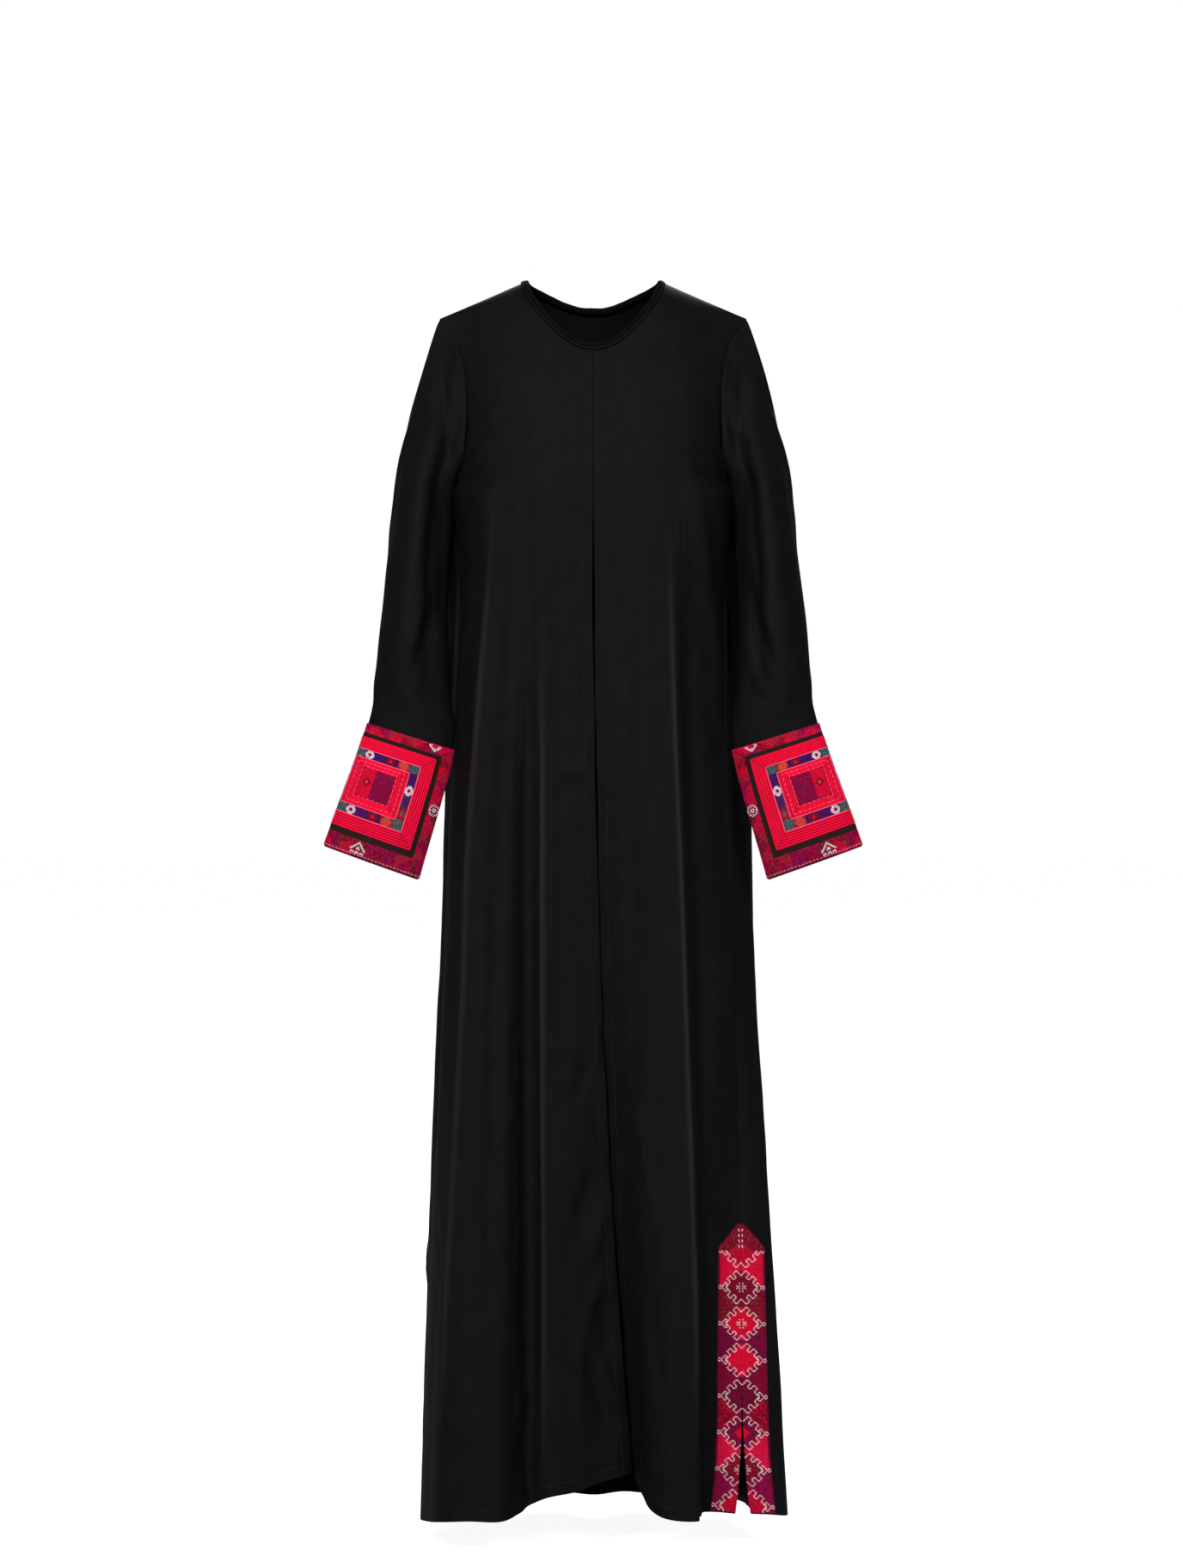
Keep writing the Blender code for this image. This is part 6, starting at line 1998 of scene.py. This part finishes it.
def cuff_embroidery(side):
    """All the stitching of one cuff, as separate pieces."""
    label = "cuff_" + side
    band_depth = BAND_DEPTH * BAND_CELL + OUTLINE_GAP
    band_inside = shrunk(BAND_BOX, band_depth, band_depth)
    boxes = rows_inside(MIDDLE_BOX, OUTER_START, OUTER_PITCH, OUTER_ROWS)
    boxes += rows_inside(band_inside, INNER_START, INNER_PITCH, INNER_ROWS)
    rows = [cuff_ring(side, box, MIDDLE_GROUND - 0.0002) for box in boxes]
    outline_boxes = (shrunk(BAND_BOX, -OUTLINE_GAP, -OUTLINE_GAP), band_inside)
    outlines = [cuff_ring(side, box, MIDDLE_GROUND + 0.0003) for box in outline_boxes]
    dash_boxes = (shrunk(band_inside, 0.0061, 0.0045), shrunk(HEART_BOX, -0.0018, -0.0012))
    dashes = [cuff_ring(side, box, MIDDLE_GROUND + 0.0009) for box in dash_boxes]
    pieces = [
        cuff_crosses(side),
        lay_cords(label + "_couched_rows", rows, ROW_RADIUS, RED_CORD, 7),
        lay_cords(label + "_outlines", outlines, OUTLINE_RADIUS, PINK_CORD, 5),
        sew_lines(label + "_dashes", DASH, dashes, DASH_SPACING, PINK_THREAD, 9),
    ]
    middle_of_braid = shrunk(BRAID_BOX, CUFF_BRAID / 2, CUFF_BRAID / 2)
    for form, off, seed in ((BRAID_RISING, BRAID_OFF, 4), (BRAID_FALLING, -BRAID_OFF, 8)):
        lines = [cuff_ring(side, shrunk(middle_of_braid, off, off), STITCH_GROUND + 0.0001)]
        name = f"{label}_braid_{seed}"
        pieces.append(sew_lines(name, form, lines, BRAID_SPACING, BRAID_THREAD, seed))
    return pieces


cuff_pieces = {}
for side in ("left", "right"):
    ground = cuff_ground(side)
    settle(ground, "cuff_embroidery", "cuff_patch_" + side)
    cuff_pieces[side] = ground, [settle(piece, "cuff_embroidery") for piece in cuff_embroidery(side)]

# %% [markdown]
# ## The embroidered slit
#
# Two narrow strips frame the slit and meet in a point above it. Their pattern is a chain of stepped
# diamonds, cut in half by the slit, so one strip mirrors the other. One quarter of the diamond's outline
# is charted, and the rest follows by reflection. The fields inside and between the diamonds change colour
# from one to the next.

# %% The slit's chart
STRIP_WIDTH, STRIP_POINT_HEIGHT, STRIP_SHOULDER_DROP = 0.032, 0.345, 0.029
STRIP_TIP, STRIP_HEM = 0.12, 0.0012
STRIP_CELL, REPEAT, FIRST_DIAMOND = 0.0016, 27, 20
STRIP_COLUMNS, STRIP_ROWS, EDGE_COLUMN = 20, 220, 17
QUARTER_OUTLINE = (
    # cells out from the slit, cells along from the diamond's middle
    *((0, 9), (1, 10), (2, 11), (3, 12), (4, 12), (5, 11), (6, 10), (5, 9), (4, 8), (4, 7), (5, 6)),
    *((6, 6), (7, 7), (8, 8), (9, 8), (10, 7), (11, 6), (10, 5), (9, 4), (9, 3), (10, 2), (11, 2)),
    *((12, 3), (13, 3), (14, 2), (15, 1), (16, 0)),
)
SIDE_LOOP = ((17, 1), (18, 1), (19, 0), (12, 0), (11, 1), (12, 1))
ROSETTE = ((0, 0), (2, 0), (1, 1), (0, 2), (3, 1), (1, 3))
DIAMONDS = (
    # field inside, flecks, rosette or not
    ("crimson", "bright red", False),
    ("maroon", "wine", True),
    ("bright red", "crimson", True),
    ("bright red", "rose", False),
    ("wine", "purple", False),
    ("purple", "wine", False),
    ("maroon", "brown rose", True),
    ("crimson", "bright red", False),
)
BETWEEN = (
    # field between two diamonds, flecks
    ("bright red", "rose"),
    ("maroon", "brown rose"),
    ("purple", "wine"),
    ("maroon", "purple"),
    ("maroon", "bright red"),
    ("rose", "bright red"),
    ("purple", "magenta"),
    ("maroon", "brown rose"),
)


def strip_top(width):
    """The height of the strip's pointed top, at a distance from the slit."""
    slant = np.clip((np.asarray(width) / STRIP_WIDTH - STRIP_TIP) / (1.0 - STRIP_TIP), 0.0, 1.0)
    return STRIP_POINT_HEIGHT - STRIP_SHOULDER_DROP * slant


def strip_thread(column, row, random):
    """The thread of one cell: column out from the slit, row down from the point."""
    number = int(np.floor((row - FIRST_DIAMOND) / REPEAT + 0.5))
    along = row - FIRST_DIAMOND - number * REPEAT
    if number < 0 or (number == 0 and along < 0):
        if column == 1 and row % 4 < 2 and row > 2:
            return "pale pink"
        return flecked(random, "crimson" if row > 12 + column else "maroon", "brown rose", 0.25)
    if (column, abs(along)) in QUARTER_OUTLINE or (column, abs(along)) in SIDE_LOOP:
        return "pale pink"
    field, flecks, rosette = DIAMONDS[number % len(DIAMONDS)]
    if column / 14.5 + abs(along) / 12.8 < 1.0:
        if rosette and (column, abs(along)) in ROSETTE:
            return "brown rose" if column == 0 else "pale pink"
        if field == "purple" and column + abs(along) < 5:
            return "bright red"
        return flecked(random, field, flecks, 0.18)
    gap = number if along > 0 else number - 1
    field, flecks = BETWEEN[gap % len(BETWEEN)]
    if column > EDGE_COLUMN:
        return "wine" if row % 2 == 0 else "purple"
    from_middle = abs(abs(along) - REPEAT / 2)
    return flecked(random, field, flecks, 0.30 if int(from_middle) % 3 else 0.12)


print(len(QUARTER_OUTLINE), "cells in the quarter chart")

# %% [markdown]
# ## The strips on the cloth
#
# A place on a strip is its distance from the slit and its height, so the chart hangs straight beside the
# opening and leans out with it where the slit curls open at the hem.

# %% Slit strips
STRIP_GROUND_LIFT, STRIP_GROUND = 0.0013, thread_material("strip_ground", THREADS["maroon"], 0.8, 0.1)
EDGING_RADIUS, EDGING_INSET, STEP_ASIDE = 0.0006, 0.0004, 0.001
POINT_STEPS, SIDE_STEPS = 16, 140


def strip_table(name):
    """The cloth beside the slit, read at even distances from it, with the height of each row's edge."""
    grid, normals = cloth[name], normals_of[name]
    if name == "front_left":
        grid, normals = grid[:, ::-1], normals[:, ::-1]
    rows = np.flatnonzero(grid[:, 0, 2] < STRIP_POINT_HEIGHT + 0.03)
    rows = np.append(rows[0] - 1, rows)
    widths = np.linspace(0.0, STRIP_WIDTH, 25)
    points, outs = [], []
    for row in rows:
        along = lengths_along(grid[row])
        points.append([[np.interp(w, along, grid[row, :, k]) for k in range(3)] for w in widths])
        outs.append([[np.interp(w, along, normals[row, :, k]) for k in range(3)] for w in widths])
    return np.array(points), np.array(outs), -grid[rows, 0, 2], widths


STRIP_TABLES = {name: strip_table(name) for name in ("front_left", "back")}


def strip_place(name, width, height, lift):
    """Points over a strip, the directions out of it, and the directions away from the slit."""
    points, outs, drops, widths = STRIP_TABLES[name]
    width, height = np.broadcast_arrays(np.asarray(width, float), np.asarray(height, float))
    place = read_grid(points, drops, widths, -height, width)
    beside = read_grid(points, drops, widths, -height, np.minimum(width + STEP_ASIDE, STRIP_WIDTH))
    before = read_grid(points, drops, widths, -height, np.maximum(width - STEP_ASIDE, 0.0))
    out = unit(read_grid(outs, drops, widths, -height, width))
    return place + out * np.asarray(lift)[..., None], out, unit(beside - before)


def strip_ground(label, name, bottom):
    """The ground cloth of one strip, from its slanting top to just above the hem."""
    widths, shares = np.linspace(0.0003, STRIP_WIDTH, 17), np.linspace(0.0, 1.0, 90)[:, None]
    heights = strip_top(widths) + (bottom - strip_top(widths)) * shares
    points, _, _ = strip_place(name, widths + 0 * shares, heights, STRIP_GROUND_LIFT)
    if name == "front_left":
        points = points[:, ::-1]
    ground = grid_mesh(label + "_ground", points, run_along(points, 1))
    ground.data.materials.append(STRIP_GROUND)
    return thicken(ground, GROUND_THICKNESS)


def strip_crosses(label, name, bottom):
    """The cross stitch of one strip, cut off at its slanting top and at its lower end."""
    random = np.random.default_rng(41)
    tops = strip_top((np.arange(STRIP_COLUMNS) + 0.5) * STRIP_CELL)
    cells = []
    for row in range(STRIP_ROWS):
        height = STRIP_POINT_HEIGHT - (row + 0.6) * STRIP_CELL
        cells += [(column, row) for column in range(STRIP_COLUMNS) if bottom < height < tops[column]]
    names = [strip_thread(column, row, random) for column, row in cells]
    spots = (np.array(cells) + 0.5) * STRIP_CELL
    lift = np.full(len(cells), STRIP_GROUND_LIFT)
    points, outs, alongs = strip_place(name, spots[:, 0], STRIP_POINT_HEIGHT - spots[:, 1], lift)
    sizes = np.full(len(cells), STRIP_CELL)
    threads = thread_colours(names, np.random.default_rng(8))
    label = label + "_cross_stitch"
    return sew_places(label, CROSS, points, outs, alongs, sizes, threads, COLOURED_THREAD, 6)


def strip_edging(label, name, bottom):
    """The cord along the slanting top and the outer side of one strip."""
    outside = STRIP_WIDTH - EDGING_INSET
    top_widths = np.linspace(0.0005, outside, POINT_STEPS)
    widths = np.concatenate([top_widths, np.full(SIDE_STEPS, outside)])
    side_heights = np.linspace(strip_top(STRIP_WIDTH), bottom, SIDE_STEPS)
    heights = np.concatenate([strip_top(top_widths) - EDGING_INSET, side_heights])
    points, outs, _ = strip_place(name, widths, heights, STRIP_GROUND_LIFT + 0.0001)
    return lay_cords(label + "_edging", [(points, outs, False)], EDGING_RADIUS, EDGE_CORD, 5)


for label, name in (("slit_front", "front_left"), ("slit_back", "back")):
    bottom = STRIP_HEM + cloth[name][-1, -1 if name == "front_left" else 0, 2]
    solid = label.replace("slit_", "slit_strip_")
    ground = settle(strip_ground(label, name, bottom), "slit_embroidery", solid)
    stitching = [strip_crosses(label, name, bottom), strip_edging(label, name, bottom)]
    [settle(piece, "slit_embroidery") for piece in stitching]

for form in FORMS:
    bpy.data.objects.remove(form, do_unlink=True)

# %% [markdown]
# ## The flat cut
#
# Cloth hardly stretches, so each piece must have the area that it was cut to. The table gives the size of
# the flat rectangle that each piece is cut from, and its own area where the piece isn't a rectangle. The
# sleeves are given all round, because each is one tube.

# %% Sizes of the flat cuts
CUTS = (
    # name, width, length, area
    ("front_left", 0.27, 1.53, 0.315),
    ("back", 0.92, 1.54, 0.937),
    ("front_right", 0.45, 1.53, 0.449),
    ("sleeve_left", 0.48, 0.68, 0.178),
    ("sleeve_right", 0.48, 0.68, 0.177),
)


for name, width, length, area in CUTS:
    across, along = run_along(cloth[name], 1)[:, -1].max(), run_along(cloth[name], 0)[-1].max()
    print(name, "widest", round(float(across), 3), "longest", round(float(along), 3))
for side in ("left", "right"):
    ground, stitching = cuff_pieces[side]
around_fold = float(run_along(binding_grid, 0)[-1].mean())
neck_round = float(run_along(neck_points[None], 1)[0, -1])
print("neck binding", round(around_fold, 4), "across", round(neck_round, 3), "long")
